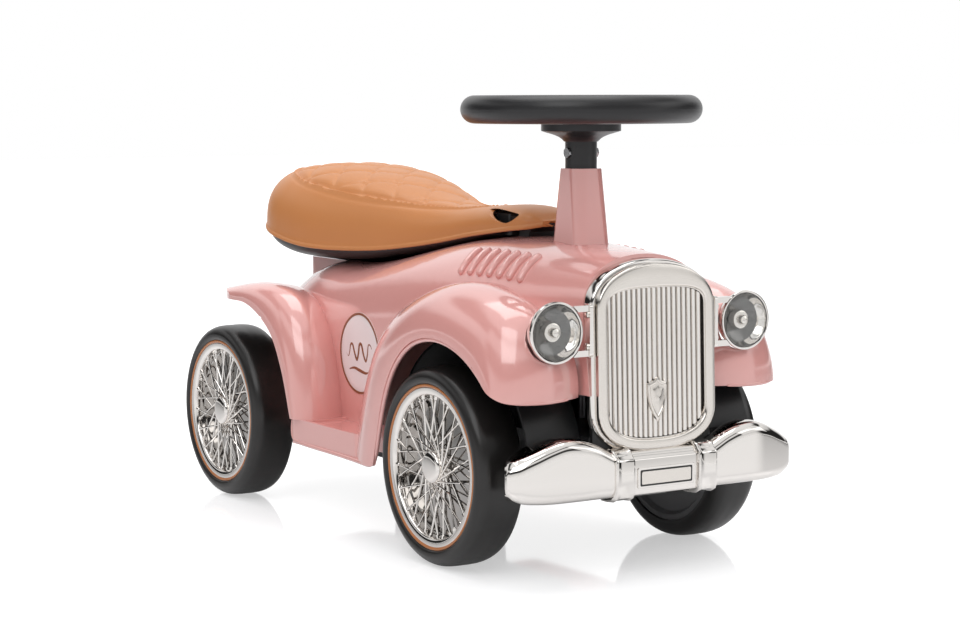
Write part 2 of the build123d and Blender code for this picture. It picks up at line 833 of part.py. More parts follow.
with BuildPart() as front_beam:
    with BuildSketch(Plane.XY.offset(beam_bottom_z)) as beam_plan:
        with Locations((0, front_axle_y)):
            Rectangle(2 * (kingpin_x - ear_radius), beam_depth)
            SlotCenterToCenter(2 * kingpin_x, 2 * ear_radius)
        with Locations((0, steer_axis_y)):
            Circle(column_boss_radius)
    extrude(amount=beam_height)
    for side in (-1, 1):
        with BuildSketch(Plane.XY.offset(lower_ear_bottom_z)) as lower_ear:
            with Locations((side * kingpin_x, front_axle_y)):
                Circle(ear_radius)
            with Locations((side * (kingpin_x - 11), front_axle_y)):
                Rectangle(22, 2 * ear_radius)
        extrude(amount=ear_thickness)
        with BuildSketch(Plane.XY.offset(lower_ear_bottom_z)) as web:
            with Locations((side * (kingpin_x - 22 + beam_web / 2), front_axle_y)):
                Rectangle(beam_web, 2 * ear_radius)
        extrude(amount=beam_bottom_z - lower_ear_bottom_z)
    with BuildSketch(Plane.XY.offset(lower_ear_bottom_z - 1)) as beam_bores:
        with Locations((kingpin_x, front_axle_y), (-kingpin_x, front_axle_y)):
            Circle(kingpin_radius)
        with Locations((0, steer_axis_y)):
            Circle(shaft_radius + shaft_clearance)
    extrude(amount=80, mode=Mode.SUBTRACT)
save(front_beam, "front_beam")

with BuildPart() as kingpins:
    for radius, bottom_z, height in (
        (kingpin_radius, lower_ear_bottom_z, front_floor_z - lower_ear_bottom_z),
        (kingpin_radius * 1.7, lower_ear_bottom_z - kingpin_head, kingpin_head),
    ):
        with BuildSketch(Plane.XY.offset(bottom_z)) as pin:
            with Locations((kingpin_x, front_axle_y), (-kingpin_x, front_axle_y)):
                Circle(radius)
        extrude(amount=height)
save(kingpins, "kingpins")

arm_bottom_z = axle_z - steering_arm_drop - steering_arm_thickness / 2
arm_top_z = arm_bottom_z + steering_arm_thickness
tie_rod_bottom_z = arm_top_z + 0.3
tie_rod_top_z = tie_rod_bottom_z + tie_rod_thickness
spindle_end_x = wheel_outer_x - 11.0
link_pin_height = tie_rod_thickness + 2.5
arm_pin_y = front_axle_y + steering_arm_length

with BuildPart() as knuckle:
    with BuildSketch(Plane.XY.offset(knuckle_bottom_z)) as barrel:
        with Locations((kingpin_x, front_axle_y)):
            Circle(knuckle_radius)
    extrude(amount=knuckle_height)
    with BuildSketch(facing_side(kingpin_x)) as spindle_base:
        with Locations((front_axle_y, axle_z)):
            Circle(spindle_base_radius)
    extrude(amount=wheel_inner_x + core_recess - wheel_face_gap - kingpin_x)
    with BuildSketch(facing_side(kingpin_x)) as spindle:
        with Locations((front_axle_y, axle_z)):
            Circle(axle_radius)
    extrude(amount=spindle_end_x - kingpin_x)
    with BuildSketch(Plane.XY.offset(arm_bottom_z)) as steering_arm:
        with Locations((kingpin_x, front_axle_y + steering_arm_length / 2)):
            SlotCenterToCenter(steering_arm_length, tie_rod_width, rotation=90)
    extrude(amount=steering_arm_thickness)
    with BuildSketch(Plane.XY.offset(arm_top_z)) as arm_pin:
        with Locations((kingpin_x, arm_pin_y)):
            Circle(link_pin_radius)
    extrude(amount=link_pin_height)
    with BuildSketch(Plane.XY.offset(knuckle_bottom_z - 1)) as kingpin_bore:
        with Locations((kingpin_x, front_axle_y)):
            Circle(kingpin_radius + kingpin_clearance)
    extrude(amount=knuckle_height + 2, mode=Mode.SUBTRACT)
save_pair(knuckle, "knuckle")

crank_pin_y = steer_axis_y + steering_arm_length

with BuildPart() as tie_rod:
    with BuildSketch(Plane.XY.offset(tie_rod_bottom_z)) as rod_plan:
        with Locations((0, arm_pin_y)):
            SlotCenterToCenter(2 * kingpin_x, tie_rod_width)
        with Locations((0, (arm_pin_y + crank_pin_y) / 2)):
            SlotCenterToCenter(abs(arm_pin_y - crank_pin_y), tie_rod_width + 4, rotation=90)
        with Locations((kingpin_x, arm_pin_y), (-kingpin_x, arm_pin_y), (0, crank_pin_y)):
            Circle(link_pin_radius + link_pin_clearance, mode=Mode.SUBTRACT)
    extrude(amount=tie_rod_thickness)
save(tie_rod, "tie_rod")

# ======================================================================================
# Steering shaft with its crank, column tube, clamp screw
# ======================================================================================
crank_bottom_z = tie_rod_top_z + 0.3
shaft_top_z = column_top_z + 12.0

with BuildPart() as steering_shaft:
    with BuildSketch(Plane.XY.offset(crank_bottom_z)) as shaft_section:
        with Locations((0, steer_axis_y)):
            Circle(shaft_radius)
    extrude(amount=shaft_top_z - crank_bottom_z)
    with BuildSketch(Plane.XY.offset(crank_bottom_z)) as crank:
        with Locations((0, steer_axis_y + steering_arm_length / 2)):
            SlotCenterToCenter(steering_arm_length, crank_width, rotation=90)
    extrude(amount=crank_thickness)
    with BuildSketch(Plane.XY.offset(crank_bottom_z - link_pin_height)) as crank_pin:
        with Locations((0, crank_pin_y)):
            Circle(link_pin_radius)
    extrude(amount=link_pin_height)
    with BuildSketch(facing_side(-20)) as cross_hole:
        with Locations((steer_axis_y, clamp_screw_z)):
            Circle(clamp_screw_radius)
    extrude(amount=40, mode=Mode.SUBTRACT)
save(steering_shaft, "steering_shaft")

with BuildPart() as steering_column:
    with BuildSketch(Plane.XY.offset(column_bottom_z)) as column_section:
        with Locations((0, steer_axis_y)):
            Circle(column_radius)
            Circle(shaft_radius, mode=Mode.SUBTRACT)
    extrude(amount=column_top_z - column_bottom_z)
    with BuildSketch(facing_side(-20)) as screw_hole:
        with Locations((steer_axis_y, clamp_screw_z)):
            Circle(clamp_screw_radius)
    extrude(amount=40, mode=Mode.SUBTRACT)
    # flats that seat the screw head and the nut
    for side in (-1, 1):
        with BuildSketch(facing_side(side * screw_seat_x)) as screw_seat:
            with Locations((steer_axis_y, clamp_screw_z)):
                Circle(screw_head_radius + 0.3)
        extrude(amount=side * 5, mode=Mode.SUBTRACT)
save(steering_column, "steering_column")

with BuildPart() as clamp_screw:
    with BuildSketch(facing_side(-screw_seat_x)) as screw_shank:
        with Locations((steer_axis_y, clamp_screw_z)):
            Circle(clamp_screw_radius)
    extrude(amount=2 * screw_seat_x + nut_thickness + 1.0)
    with BuildSketch(facing_side(-screw_seat_x)) as screw_head:
        with Locations((steer_axis_y, clamp_screw_z)):
            Circle(screw_head_radius)
    extrude(amount=-screw_head_height)
    with BuildSketch(facing_side(screw_seat_x)) as nut:
        with Locations((steer_axis_y, clamp_screw_z)):
            RegularPolygon(nut_width / 2, 6, major_radius=False)
    extrude(amount=nut_thickness)
save(clamp_screw, "clamp_screw")

# ======================================================================================
# Steering wheel with horn and music buttons
# ======================================================================================
rim_z = steering_wheel_top_z - steering_rim_radius
rim_centre_radius = steering_wheel_radius - steering_rim_radius
bowl_rim_z = column_top_z + hub_bowl_rise
skirt_top_z = bowl_rim_z + hub_skirt
horn_well_depth = button_height + button_travel
spoke_top_z = rim_z + spoke_bar_height / 4
steer_axis = Axis((0, steer_axis_y, 0), (0, 0, 1))
hub_plane = Plane(origin=(0, steer_axis_y, 0), x_dir=(1, 0, 0), z_dir=(0, -1, 0))

with BuildPart() as steering_wheel:
    with BuildSketch(hub_plane) as rim_section:
        with Locations((rim_centre_radius, rim_z)):
            Circle(steering_rim_radius)
    revolve(axis=steer_axis)
    with BuildSketch(Plane.XY.offset(spoke_top_z - spoke_bar_height)) as spokes:
        with Locations((0, steer_axis_y)):
            Rectangle(2 * rim_centre_radius, spoke_bar_width)
        with Locations((0, steer_axis_y + rim_centre_radius / 2)):
            Rectangle(spoke_bar_width, rim_centre_radius)
    extrude(amount=spoke_bar_height)
    with BuildSketch(hub_plane) as hub_section:
        with BuildLine():
            Line((0, column_top_z), (hub_bowl_bottom_radius, column_top_z))
            Bezier(
                (hub_bowl_bottom_radius, column_top_z),
                (hub_bowl_bottom_radius + 4, bowl_rim_z - 3),
                (hub_bowl_radius - 4, bowl_rim_z - 2),
                (hub_bowl_radius, bowl_rim_z),
            )
            Polyline((hub_bowl_radius, bowl_rim_z), (hub_bowl_radius, skirt_top_z), (pad_radius + 2, pad_top_z - 5))
            Bezier((pad_radius + 2, pad_top_z - 5), (pad_radius + 1, pad_top_z), (pad_radius - 3, pad_top_z))
            Polyline((pad_radius - 3, pad_top_z), (0, pad_top_z), (0, column_top_z))
        make_face()
    revolve(axis=steer_axis)
    # inside of the hub, wells of the buttons
    with BuildSketch(Plane.XY.offset(bowl_rim_z + hub_wall)) as hub_hollow:
        with Locations((0, steer_axis_y)):
            Circle(hub_bowl_radius - 3 * hub_wall)
    extrude(amount=pad_top_z - horn_well_depth - hub_wall - bowl_rim_z - hub_wall, mode=Mode.SUBTRACT)
    with BuildSketch(Plane.XY.offset(pad_top_z - horn_well_depth)) as horn_well:
        with Locations((0, steer_axis_y)):
            Circle(horn_radius + button_clearance)
    extrude(amount=horn_well_depth + 1, mode=Mode.SUBTRACT)
    with BuildSketch(Plane.XY.offset(spoke_top_z - horn_well_depth + 1)) as music_wells:
        with Locations((music_button_x, steer_axis_y), (-music_button_x, steer_axis_y)):
            Circle(music_button_radius + button_clearance)
    extrude(amount=horn_well_depth, mode=Mode.SUBTRACT)
    # socket of the shaft
    with BuildSketch(Plane.XY.offset(column_top_z)) as shaft_socket:
        with Locations((0, steer_axis_y)):
            Circle(shaft_radius)
    extrude(amount=shaft_top_z - column_top_z, mode=Mode.SUBTRACT)
save(steering_wheel, "steering_wheel")

for name, button_x, radius, top_z in (
    ("horn_button", 0.0, horn_radius, pad_top_z + button_travel),
    ("music_button_left", music_button_x, music_button_radius, spoke_top_z + button_travel + 0.5),
    ("music_button_right", -music_button_x, music_button_radius, spoke_top_z + button_travel + 0.5),
):
    with BuildPart() as button:
        with BuildSketch(Plane.XY.offset(top_z - button_height)) as button_plan:
            with Locations((button_x, steer_axis_y)):
                Circle(radius)
        extrude(amount=button_height)
        chamfer(button.faces().sort_by(Axis.Z)[-1].edges(), button_dish)
    save(button, name)

# ======================================================================================
# Wheels: tyre, trim ring, chrome wire cover, inner core
# ======================================================================================
wheel_axis = Axis((0, front_axle_y, axle_z), (1, 0, 0))
wheel_plane = Plane(origin=(0, front_axle_y, axle_z), x_dir=(1, 0, 0), z_dir=(0, -1, 0))
cover_outer_x = wheel_outer_x - trim_ring_recess
flange_inner_radius = bead_radius - rim_flange_width
core_face_x = wheel_inner_x + core_recess
dish_centre_x = cover_outer_x - dish_depth
cap_face_x = wheel_outer_x - 1.5
wheel_places = {
    "front_left": (0.0, False),
    "front_right": (0.0, True),
    "rear_left": (wheel_base, False),
    "rear_right": (wheel_base, True),
}


def save_wheel_piece(builder, name):
    """Writes the piece of the front left wheel at all four wheels."""
    for place, (shift, mirrored) in wheel_places.items():
        piece = builder.part.moved(Location((0, shift, 0)))
        if mirrored:
            piece = mirror(piece, about=Plane.YZ)
        piece.label = f"{name}_{place}"
        export_step(piece, f"parts/{name}_{place}.step")


with BuildPart() as tyre:
    with BuildSketch(wheel_plane) as tyre_section:
        with BuildLine():
            Polyline(
                (wheel_inner_x, bead_radius),
                (wheel_inner_x, tyre_radius - tyre_shoulder),
            )
            Bezier(
                (wheel_inner_x, tyre_radius - tyre_shoulder),
                (wheel_inner_x, tyre_radius - 3),
                (wheel_inner_x + 3, tyre_radius),
                (wheel_inner_x + tyre_shoulder, tyre_radius),
            )
            Line(
                (wheel_inner_x + tyre_shoulder, tyre_radius),
                (wheel_outer_x - tyre_shoulder, tyre_radius),
            )
            Bezier(
                (wheel_outer_x - tyre_shoulder, tyre_radius),
                (wheel_outer_x - 3, tyre_radius),
                (wheel_outer_x, tyre_radius - 3),
                (wheel_outer_x, tyre_radius - tyre_shoulder),
            )
            Polyline(
                (wheel_outer_x, tyre_radius - tyre_shoulder),
                (cover_outer_x, bead_radius),
                (wheel_inner_x, bead_radius),
            )
        make_face()
    revolve(axis=wheel_axis)
save_wheel_piece(tyre, "tyre")

with BuildPart() as trim_ring:
    with BuildSketch(wheel_plane) as ring_section:
        with BuildLine():
            Polyline(
                (cover_outer_x - trim_ring_depth, bead_radius),
                (cover_outer_x, bead_radius),
                (cover_outer_x, bead_radius - trim_ring_width),
                (cover_outer_x - trim_ring_depth, bead_radius - trim_ring_width),
                close=True,
            )
        make_face()
    revolve(axis=wheel_axis)
save_wheel_piece(trim_ring, "trim_ring")

# cover: rolled rim flange, barrel, mirror dish and hub cap in one turned section
with BuildPart() as wheel_cover:
    with BuildSketch(wheel_plane) as cover_section:
        with BuildLine():
            Polyline(
                (cover_outer_x, bead_radius - trim_ring_width),
                (cover_outer_x - 1.0, flange_inner_radius),
                (cover_outer_x - rim_lip_depth, flange_inner_radius - 1.5),
                (dish_centre_x, hub_flange_radius),
                (cap_face_x - hub_cap_length + 9, hub_flange_radius),
                (cap_face_x - hub_cap_length + 12, hub_cap_radius),
                (cap_face_x - 3, hub_cap_radius),
                (cap_face_x - 1, hub_cap_radius - 2),
                (cap_face_x, 0),
                (cap_face_x - 4, 0),
                (cap_face_x - 4, axle_radius + 1),
                (dish_centre_x - dish_wall, axle_radius + 1),
                (cover_outer_x - rim_lip_depth - dish_wall, flange_inner_radius),
                (cover_outer_x - rim_lip_depth - dish_wall, bead_radius),
                (cover_outer_x - trim_ring_depth, bead_radius),
                (cover_outer_x - trim_ring_depth, bead_radius - trim_ring_width),
                close=True,
            )
        make_face()
    revolve(axis=wheel_axis)
    # crossed wire spokes from the barrel to the hub
    spoke_foot_x = cover_outer_x - 4.5
    spoke_hub_x = cap_face_x - hub_cap_length + 11
    for lean in (-1, 1):
        spoke_planes = []
        for pair in range(spoke_pairs):
            rim_angle = radians(360 / spoke_pairs * (pair + 0.25 * lean))
            hub_angle = rim_angle + radians(lean * spoke_sweep)
            foot = Vector(
                spoke_foot_x,
                front_axle_y + (flange_inner_radius + 0.4) * cos(rim_angle),
                axle_z + (flange_inner_radius + 0.4) * sin(rim_angle),
            )
            head = Vector(
                spoke_hub_x - 1.2 * lean,
                front_axle_y + spoke_root_radius * cos(hub_angle),
                axle_z + spoke_root_radius * sin(hub_angle),
            )
            spoke_planes.append(Plane(origin=foot, x_dir=(1, 0, 0), z_dir=head - foot))
        with BuildSketch(*spoke_planes):
            Rectangle(spoke_width, spoke_width, rotation=45)
        extrude(amount=(head - foot).length)
save_wheel_piece(wheel_cover, "wheel_cover")

with BuildPart() as wheel_core:
    with BuildSketch(wheel_plane) as core_section:
        with BuildLine():
            Polyline(
                (core_face_x, axle_radius + wheel_bore_clearance),
                (core_face_x, core_hub_radius),
                (core_face_x + 4, core_hub_radius + 4),
                (core_face_x + 4, bead_radius - 8),
                (core_face_x, bead_radius - 5),
                (core_face_x, bead_radius),
                (core_face_x + 24, bead_radius),
                (core_face_x + 24, bead_radius - 3),
                (core_face_x + 4 + core_thickness, bead_radius - 6),
                (core_face_x + 4 + core_thickness, core_hub_radius - 4),
                (dish_centre_x - dish_wall, core_hub_radius - 5),
                (dish_centre_x - dish_wall, axle_radius + wheel_bore_clearance),
                close=True,
            )
        make_face()
    revolve(axis=wheel_axis)
save_wheel_piece(wheel_core, "wheel_core")

# ======================================================================================
# Rear axle with its spacers
# ======================================================================================
rear_axle_length = 2 * spindle_end_x

with BuildPart() as rear_axle:
    with BuildSketch(facing_side(-rear_axle_length / 2)) as axle_section:
        with Locations((rear_axle_y, axle_z)):
            Circle(axle_radius)
    extrude(amount=rear_axle_length)
save(rear_axle, "rear_axle")

spacer_inner_x = bearing_x + bearing_width / 2
with BuildPart() as axle_spacers:
    for side in (-1, 1):
        with BuildSketch(facing_side(side * spacer_inner_x)) as spacer:
            with Locations((rear_axle_y, axle_z)):
                Circle(spacer_radius)
                Circle(axle_radius, mode=Mode.SUBTRACT)
        extrude(amount=side * (core_face_x - wheel_face_gap - spacer_inner_x))
save(axle_spacers, "axle_spacers")

# ======================================================================================
# Grille: chrome surround, vertical bars, lozenge badge
# ======================================================================================


def window_outline(margin, depth):
    """Outline of the opening in the frame, `margin` inside it, `depth` behind the front face."""
    half = window_half_width - margin
    with BuildSketch(grille_plane.offset(-depth)) as outline:
        with BuildLine():
            arch(half, window_shoulder, window_top - margin, window_squareness)
            for side in (-1, 1):
                Line((side * half, window_shoulder), (side * half, window_foot_height))
            arch(half, window_foot_height, window_bottom + margin, window_foot_squareness)
        make_face()
    return outline.sketch


bar_plate_depth = grille_frame_depth + bar_plate

with BuildPart() as grille_surround:
    extrude(frame_outline(0.0, grille_frame_depth), amount=grille_frame_depth)
    chamfer(grille_surround.faces().sort_by(Axis.Y)[0].edges(), grille_chamfer)
    extrude(frame_outline(shell_margin, surround_depth), amount=surround_depth - grille_frame_depth + 1)
    extrude(
        window_outline(0.0, grille_frame_depth + 1), amount=grille_frame_depth + 5, mode=Mode.SUBTRACT
    )
    extrude(
        frame_outline(shell_margin + surround_wall, surround_depth + 1),
        amount=surround_depth - grille_frame_depth + 1,
        mode=Mode.SUBTRACT,
    )
    add(nose_front.part, mode=Mode.INTERSECT)
save(grille_surround, "grille_surround")

with BuildPart() as grille_bars:
    # ten-sided rods, trimmed to the opening of the frame
    with BuildSketch(Plane(grille_plane.origin, x_dir=(1, 0, 0), z_dir=grille_plane.y_dir)) as rods:
        with Locations((0, grille_frame_depth)):
            with GridLocations(bar_pitch, 0, bar_count, 1):
                RegularPolygon(bar_radius, 10)
    extrude(amount=grille_height)
    extrude(
        window_outline(bar_plate_gap, grille_frame_depth), amount=grille_frame_depth, mode=Mode.INTERSECT
    )
    # the plate behind them fills the shell of the surround
    extrude(frame_outline(shell_margin + surround_wall + bar_plate_gap, bar_plate_depth), amount=bar_plate)
save(grille_bars, "grille_bars")

bar_front_depth = grille_frame_depth - bar_radius * cos(pi / 10)
with BuildPart() as grille_ornament:
    ornament_mid = (ornament_bottom + ornament_shoulder) / 2
    for level, share in ((0.0, 1.0), (ornament_thickness, ornament_taper)):
        with BuildSketch(grille_plane.offset(-bar_front_depth + level)) as shield:
            with BuildLine():
                half_width = ornament_half_width * share
                foot, low, shoulder, tip = (
                    ornament_mid + (height - ornament_mid) * share
                    for height in (ornament_bottom, ornament_side, ornament_shoulder, ornament_top)
                )
                Polyline(
                    (0, foot),
                    (half_width * ornament_side_share, low),
                    (half_width, shoulder),
                    (0, tip),
                    (-half_width, shoulder),
                    (-half_width * ornament_side_share, low),
                    close=True,
                )
            make_face()
    loft()
save(grille_ornament, "grille_ornament")

# ======================================================================================
# Bumper: centre bar, two clamp bands and swelling wings, open at the back
# ======================================================================================
bumper_bar_front_y = bumper_front_y + band_proud + 0.5
# Outline of the centre bar in the (y, z) plane, from its upper to its lower back edge.
bar_outline = [
    (bumper_back_y, 104.5), (-301.5, 104.5), (-304.5, 101.5), (-306, 99.5), (bumper_bar_front_y, 97.5),
    (bumper_bar_front_y, 72), (-304, 68), (-296, 67), (bumper_back_y, 67),
]
# Wing stations: x, back edge y, front y, bottom z, top z.
wing_stations = [
    (48.0, -290.0, -309.5, 68.5, 105.0),
    (62.0, -289.5, -309.5, 68.5, 112.0),
    (78.0, -284.0, -309.5, 68.5, 117.5),
    (95.0, -279.0, -309.0, 68.5, 119.5),
    (108.0, -277.0, -307.6, 68.5, 116.5),
    (120.0, -275.6, -304.8, 68.8, 111.5),
    (130.0, -276.0, -301.4, 69.8, 107.0),
    (137.0, -281.5, -298.0, 72.5, 103.0),
    (141.0, -286.5, -295.0, 76.5, 99.0),
    (bumper_end_x, -289.5, -292.6, 81.5, 95.0),
]


def wing_section(station, wall):
    """Section of a bumper wing: upright face, rounded shoulder; the hollow is one wall inside."""
    x, back_y, front_y, bottom_z, top_z = station
    front, low, top = front_y + wall, bottom_z + wall, top_z - wall
    back = back_y + (wing_hollow_reach if wall else 0)
    height, depth = top - low, back - front
    foot = min(wing_foot_round, height / 3, depth / 3)
    crest = min(wing_crest_round, height / 3)
    crest_depth = min(wing_crest_depth, depth / 2)
    with BuildSketch(facing_side(x)) as section:
        with BuildLine():
            Polyline((front + crest_depth, top), (back, top), (back, low), (front + foot, low))
            Bezier((front + foot, low), (front, low), (front, low + foot))
            Line((front, low + foot), (front, top - crest))
            Bezier((front, top - crest), (front, top), (front + crest_depth, top))
        make_face()
    return section.sketch


def bar_section(x, grow):
    """Section of the centre bar, grown outwards by `grow`."""
    outline = inset_path(bar_outline, grow)
    with BuildSketch(facing_side(x)) as section:
        with BuildLine():
            Polyline(*outline, close=True)
        make_face()
    return section.sketch


with BuildPart() as bumper:
    extrude(bar_section(-band_outer_x, 0.0), amount=2 * band_outer_x, dir=(1, 0, 0))
    for side in (-1, 1):
        loft(sections=[wing_section((side * s[0],) + s[1:], 0.0) for s in wing_stations])
        band_start = side * (band_outer_x + band_inner_x) / 2 - (band_outer_x - band_inner_x) / 2
        extrude(bar_section(band_start, band_proud), amount=band_outer_x - band_inner_x, dir=(1, 0, 0))
        # hollow wings
        loft(
            sections=[wing_section((side * s[0],) + s[1:], bumper_wall) for s in wing_stations[1:-1]],
            mode=Mode.SUBTRACT,
        )
    with BuildSketch(Plane.XY.offset(50)) as back_cut:
        with Locations((0, bumper_back_y + 50)):
            Rectangle(2 * (grille_half_width + 2), 100)
    extrude(amount=80, mode=Mode.SUBTRACT)
    with BuildSketch(facing_side(-band_outer_x + bumper_wall)) as bar_hollow:
        offset(bar_section(0, 0.0), amount=-bumper_wall)
        with Locations((bumper_back_y, 84.5)):
            Rectangle(16, 30)
    extrude(amount=2 * (band_outer_x - bumper_wall), mode=Mode.SUBTRACT)
    # legs that bolt to the front wall of the chassis
    for side in (-1, 1):
        with BuildSketch(facing_front(nose_edge_y)) as leg:
            with Locations((side * sum(leg_x) / 2, sum(leg_z) / 2)):
                Rectangle(leg_x[1] - leg_x[0], leg_z[1] - leg_z[0])
        extrude(amount=nose_edge_y - bumper_bar_front_y - 2)
    # pocket round the foot of the grille
    with BuildSketch(Plane.XY.offset(grille_bottom_z + shell_margin - foot_clearance)) as grille_foot:
        with Locations((0, grille_front_y - foot_clearance + 20)):
            Rectangle(2 * (surround_half_width + foot_clearance), 40)
    extrude(amount=40, mode=Mode.SUBTRACT)
save(bumper, "bumper")

with BuildPart() as bumper_plate:
    with BuildSketch(facing_front(bumper_bar_front_y)) as plate_face:
        with Locations((0, sum(bumper_plate_z) / 2)):
            RectangleRounded(2 * bumper_plate_half_width, bumper_plate_z[1] - bumper_plate_z[0], 1.2)
    extrude(amount=bumper_plate_thickness)
save(bumper_plate, "bumper_plate")

# ======================================================================================
# Lamp brackets
# ======================================================================================
# bracket: a plate on the side of the grille with two arms that hold the lamp
with BuildPart() as headlamp_bracket:
    for z in bracket_z:
        with BuildSketch(facing_front(bracket_arm_y)) as arm:
            with Locations(((surround_half_width + lamp_x - bracket_reach) / 2, z)):
                Rectangle(lamp_x - bracket_reach - surround_half_width, bracket_arm_height)
        extrude(amount=-bracket_arm_depth)
    with BuildSketch(facing_side(surround_half_width)) as bracket_pad:
        with Locations((bracket_y, sum(bracket_z) / 2)):
            SlotCenterToCenter(bracket_z[1] - bracket_z[0], bracket_pad_width, rotation=90)
    extrude(amount=bracket_plate)
    add(lamp_envelope.part, mode=Mode.SUBTRACT)
save_pair(headlamp_bracket, "headlamp_bracket")

# ======================================================================================
# Storage bin in the collar, standing on the posts of the chassis pan
# ======================================================================================
bin_half_width = collar_half_width - collar_wall - bin_clearance
bin_length = collar_length - 2 * (collar_wall + bin_clearance)
bin_corner = collar_corner - collar_wall - bin_clearance

with BuildPart() as storage_bin:
    with BuildSketch(Plane.XY.offset(bin_floor_z)) as bin_plan:
        with Locations((0, collar_mid_y)):
            RectangleRounded(2 * bin_half_width, bin_length, bin_corner)
    extrude(amount=collar_top_z - bin_drop - bin_floor_z)
    with BuildSketch(Plane.XY.offset(bin_floor_z + bin_wall)) as bin_inside:
        offset(bin_plan.sketch, amount=-bin_wall)
    extrude(amount=200, mode=Mode.SUBTRACT)
save(storage_bin, "storage_bin")

# ======================================================================================
# Seat: moulded shell with a long neck, black tray below it, hinge block in the neck
# ======================================================================================
# Stations from the tip of the neck to the widest place: y, half width, rim z, crown z.
seat_stations = [
    (-148.0, 12.0, 275.3, 283.5),
    (-140.0, 24.0, 274.3, 290.0),
    (-125.0, 31.0, 273.2, 294.0),
    (-100.0, 33.5, 270.0, 294.0),
    (-60.0, 34.0, 264.7, 292.0),
    (-20.0, 38.0, 257.9, 290.5),
    (20.0, 47.0, 251.7, 295.0),
    (60.0, 61.0, 247.1, 305.5),
    (100.0, 76.0, 245.4, 315.0),
    (140.0, 87.0, 246.0, 321.0),
    (170.0, 91.0, 248.6, 324.0),
]
seat_tip_inside = (-144.0, 18.0, 274.8, 286.5)


def seat_rear_station(angle, radius):
    """Station on the round rear of the seat, `angle` behind its widest place."""
    reach = sin(radians(angle))
    y = seat_rear_y + radius * reach
    rim = seat_wide_rim_z + (seat_rear_rim_z - seat_wide_rim_z) * reach
    fullness = (1 - reach**seat_squareness) ** (1 / seat_squareness)
    crown = seat_rear_rim_z + (seat_crown_z - seat_rear_rim_z) * fullness
    return (y, radius * cos(radians(angle)), rim, crown)


def seat_section(station, wall):
    """Closed section of the seat above its rim; the hollow is drawn without the bead."""
    y, half_width, rim, crown = station
    half = half_width - wall
    bead = 0.0 if wall else seat_bead_proud
    foot = rim - (10.0 if wall else 0.0)
    with BuildSketch(facing_front(y)) as section:
        with BuildLine():
            Polyline(
                (-half, rim + seat_bead),
                (-half - bead, rim + seat_bead_shoulder),
                (-half - bead, foot),
                (half + bead, foot),
                (half + bead, rim + seat_bead_shoulder),
                (half, rim + seat_bead),
            )
            arch(half, rim + seat_bead, crown - wall, seat_squareness)
        make_face()
    return section.sketch


with BuildPart() as seat_form:
    seat_outside = seat_stations + [seat_rear_station(angle, seat_rear_radius) for angle in rear_angles]
    loft(sections=[seat_section(station, 0.0) for station in seat_outside])

with BuildPart() as seat_hollow:
    rear_inside = [
        (y, half_width + seat_wall, rim, crown)
        for y, half_width, rim, crown in (
            seat_rear_station(angle, seat_rear_radius - seat_wall) for angle in rear_angles[:-1]
        )
    ]
    seat_inside = [seat_tip_inside] + seat_stations[2:] + rear_inside
    loft(sections=[seat_section(station, seat_wall) for station in seat_inside])

# Screw bosses: x, y, height where they stand on the tray.
boss_places = [(30.0, 110.0, 236.5), (-30.0, 110.0, 236.5), (30.0, 205.0, 239.0), (-30.0, 205.0, 239.0)]

# lugs of the hinge pin and screw bosses of the tray, trimmed to the seat
with BuildPart() as seat_inner_parts:
    for side in (-1, 1):
        with BuildSketch(facing_side(side * (hinge_block_half_width + hinge_side_gap))) as hinge_lug:
            with Locations((hinge_y, hinge_z + 4)):
                Rectangle(2 * hinge_head_radius, 2 * hinge_head_radius + 8)
        extrude(amount=side * hinge_lug_width)
    with BuildSketch(Plane.XY.offset(boss_seat_z)) as seat_bosses:
        with Locations(*[place[:2] for place in boss_places]):
            Circle(boss_radius)
    extrude(amount=100)
    add(seat_form.part, mode=Mode.INTERSECT)

with BuildPart() as seat_shell:
    add(seat_form.part)
    add(seat_hollow.part, mode=Mode.SUBTRACT)
    # windows on both sides of the neck
    with BuildSketch(facing_side(-60)) as neck_window:
        with BuildLine():
            Polyline(*neck_opening, close=True)
        make_face()
        fillet(neck_window.vertices(), 2)
    extrude(amount=120, mode=Mode.SUBTRACT)
    add(seat_inner_parts.part)
    # room for the head of the hinge block
    with BuildSketch(facing_side(-hinge_block_half_width - hinge_side_gap)) as head_room:
        with Locations((hinge_y, hinge_z)):
            Circle(hinge_head_radius + hinge_side_gap)
    extrude(amount=2 * (hinge_block_half_width + hinge_side_gap), mode=Mode.SUBTRACT)
    with BuildSketch(facing_side(-60)) as pin_hole:
        with Locations((hinge_y, hinge_z)):
            Circle(hinge_pin_radius)
    extrude(amount=120, mode=Mode.SUBTRACT)
save(seat_shell, "seat_shell")

pin_half_length = hinge_block_half_width + hinge_side_gap + hinge_lug_width
with BuildPart() as seat_hinge_pin:
    with BuildSketch(facing_side(-pin_half_length)) as hinge_pin:
        with Locations((hinge_y, hinge_z)):
            Circle(hinge_pin_radius)
    extrude(amount=2 * pin_half_length)
save(seat_hinge_pin, "seat_hinge_pin")

with BuildPart() as seat_hinge_block:
    with BuildSketch(facing_side(-hinge_block_half_width)) as hinge_block:
        with BuildLine():
            Polyline(
                (hinge_y, hinge_z + hinge_head_radius),
                (-124, 284),
                (-114, 276),
                (-113, 262),
                (-127, 262),
                (-129.5, 272),
                (hinge_y + 2, hinge_z - hinge_head_radius + 0.5),
                close=True,
            )
        make_face()
        with Locations((hinge_y, hinge_z)):
            Circle(hinge_head_radius)
            Circle(hinge_pin_radius + hinge_clearance, mode=Mode.SUBTRACT)
    extrude(amount=2 * hinge_block_half_width)
    add(body_form.part, mode=Mode.SUBTRACT)
save(seat_hinge_block, "seat_hinge_block")

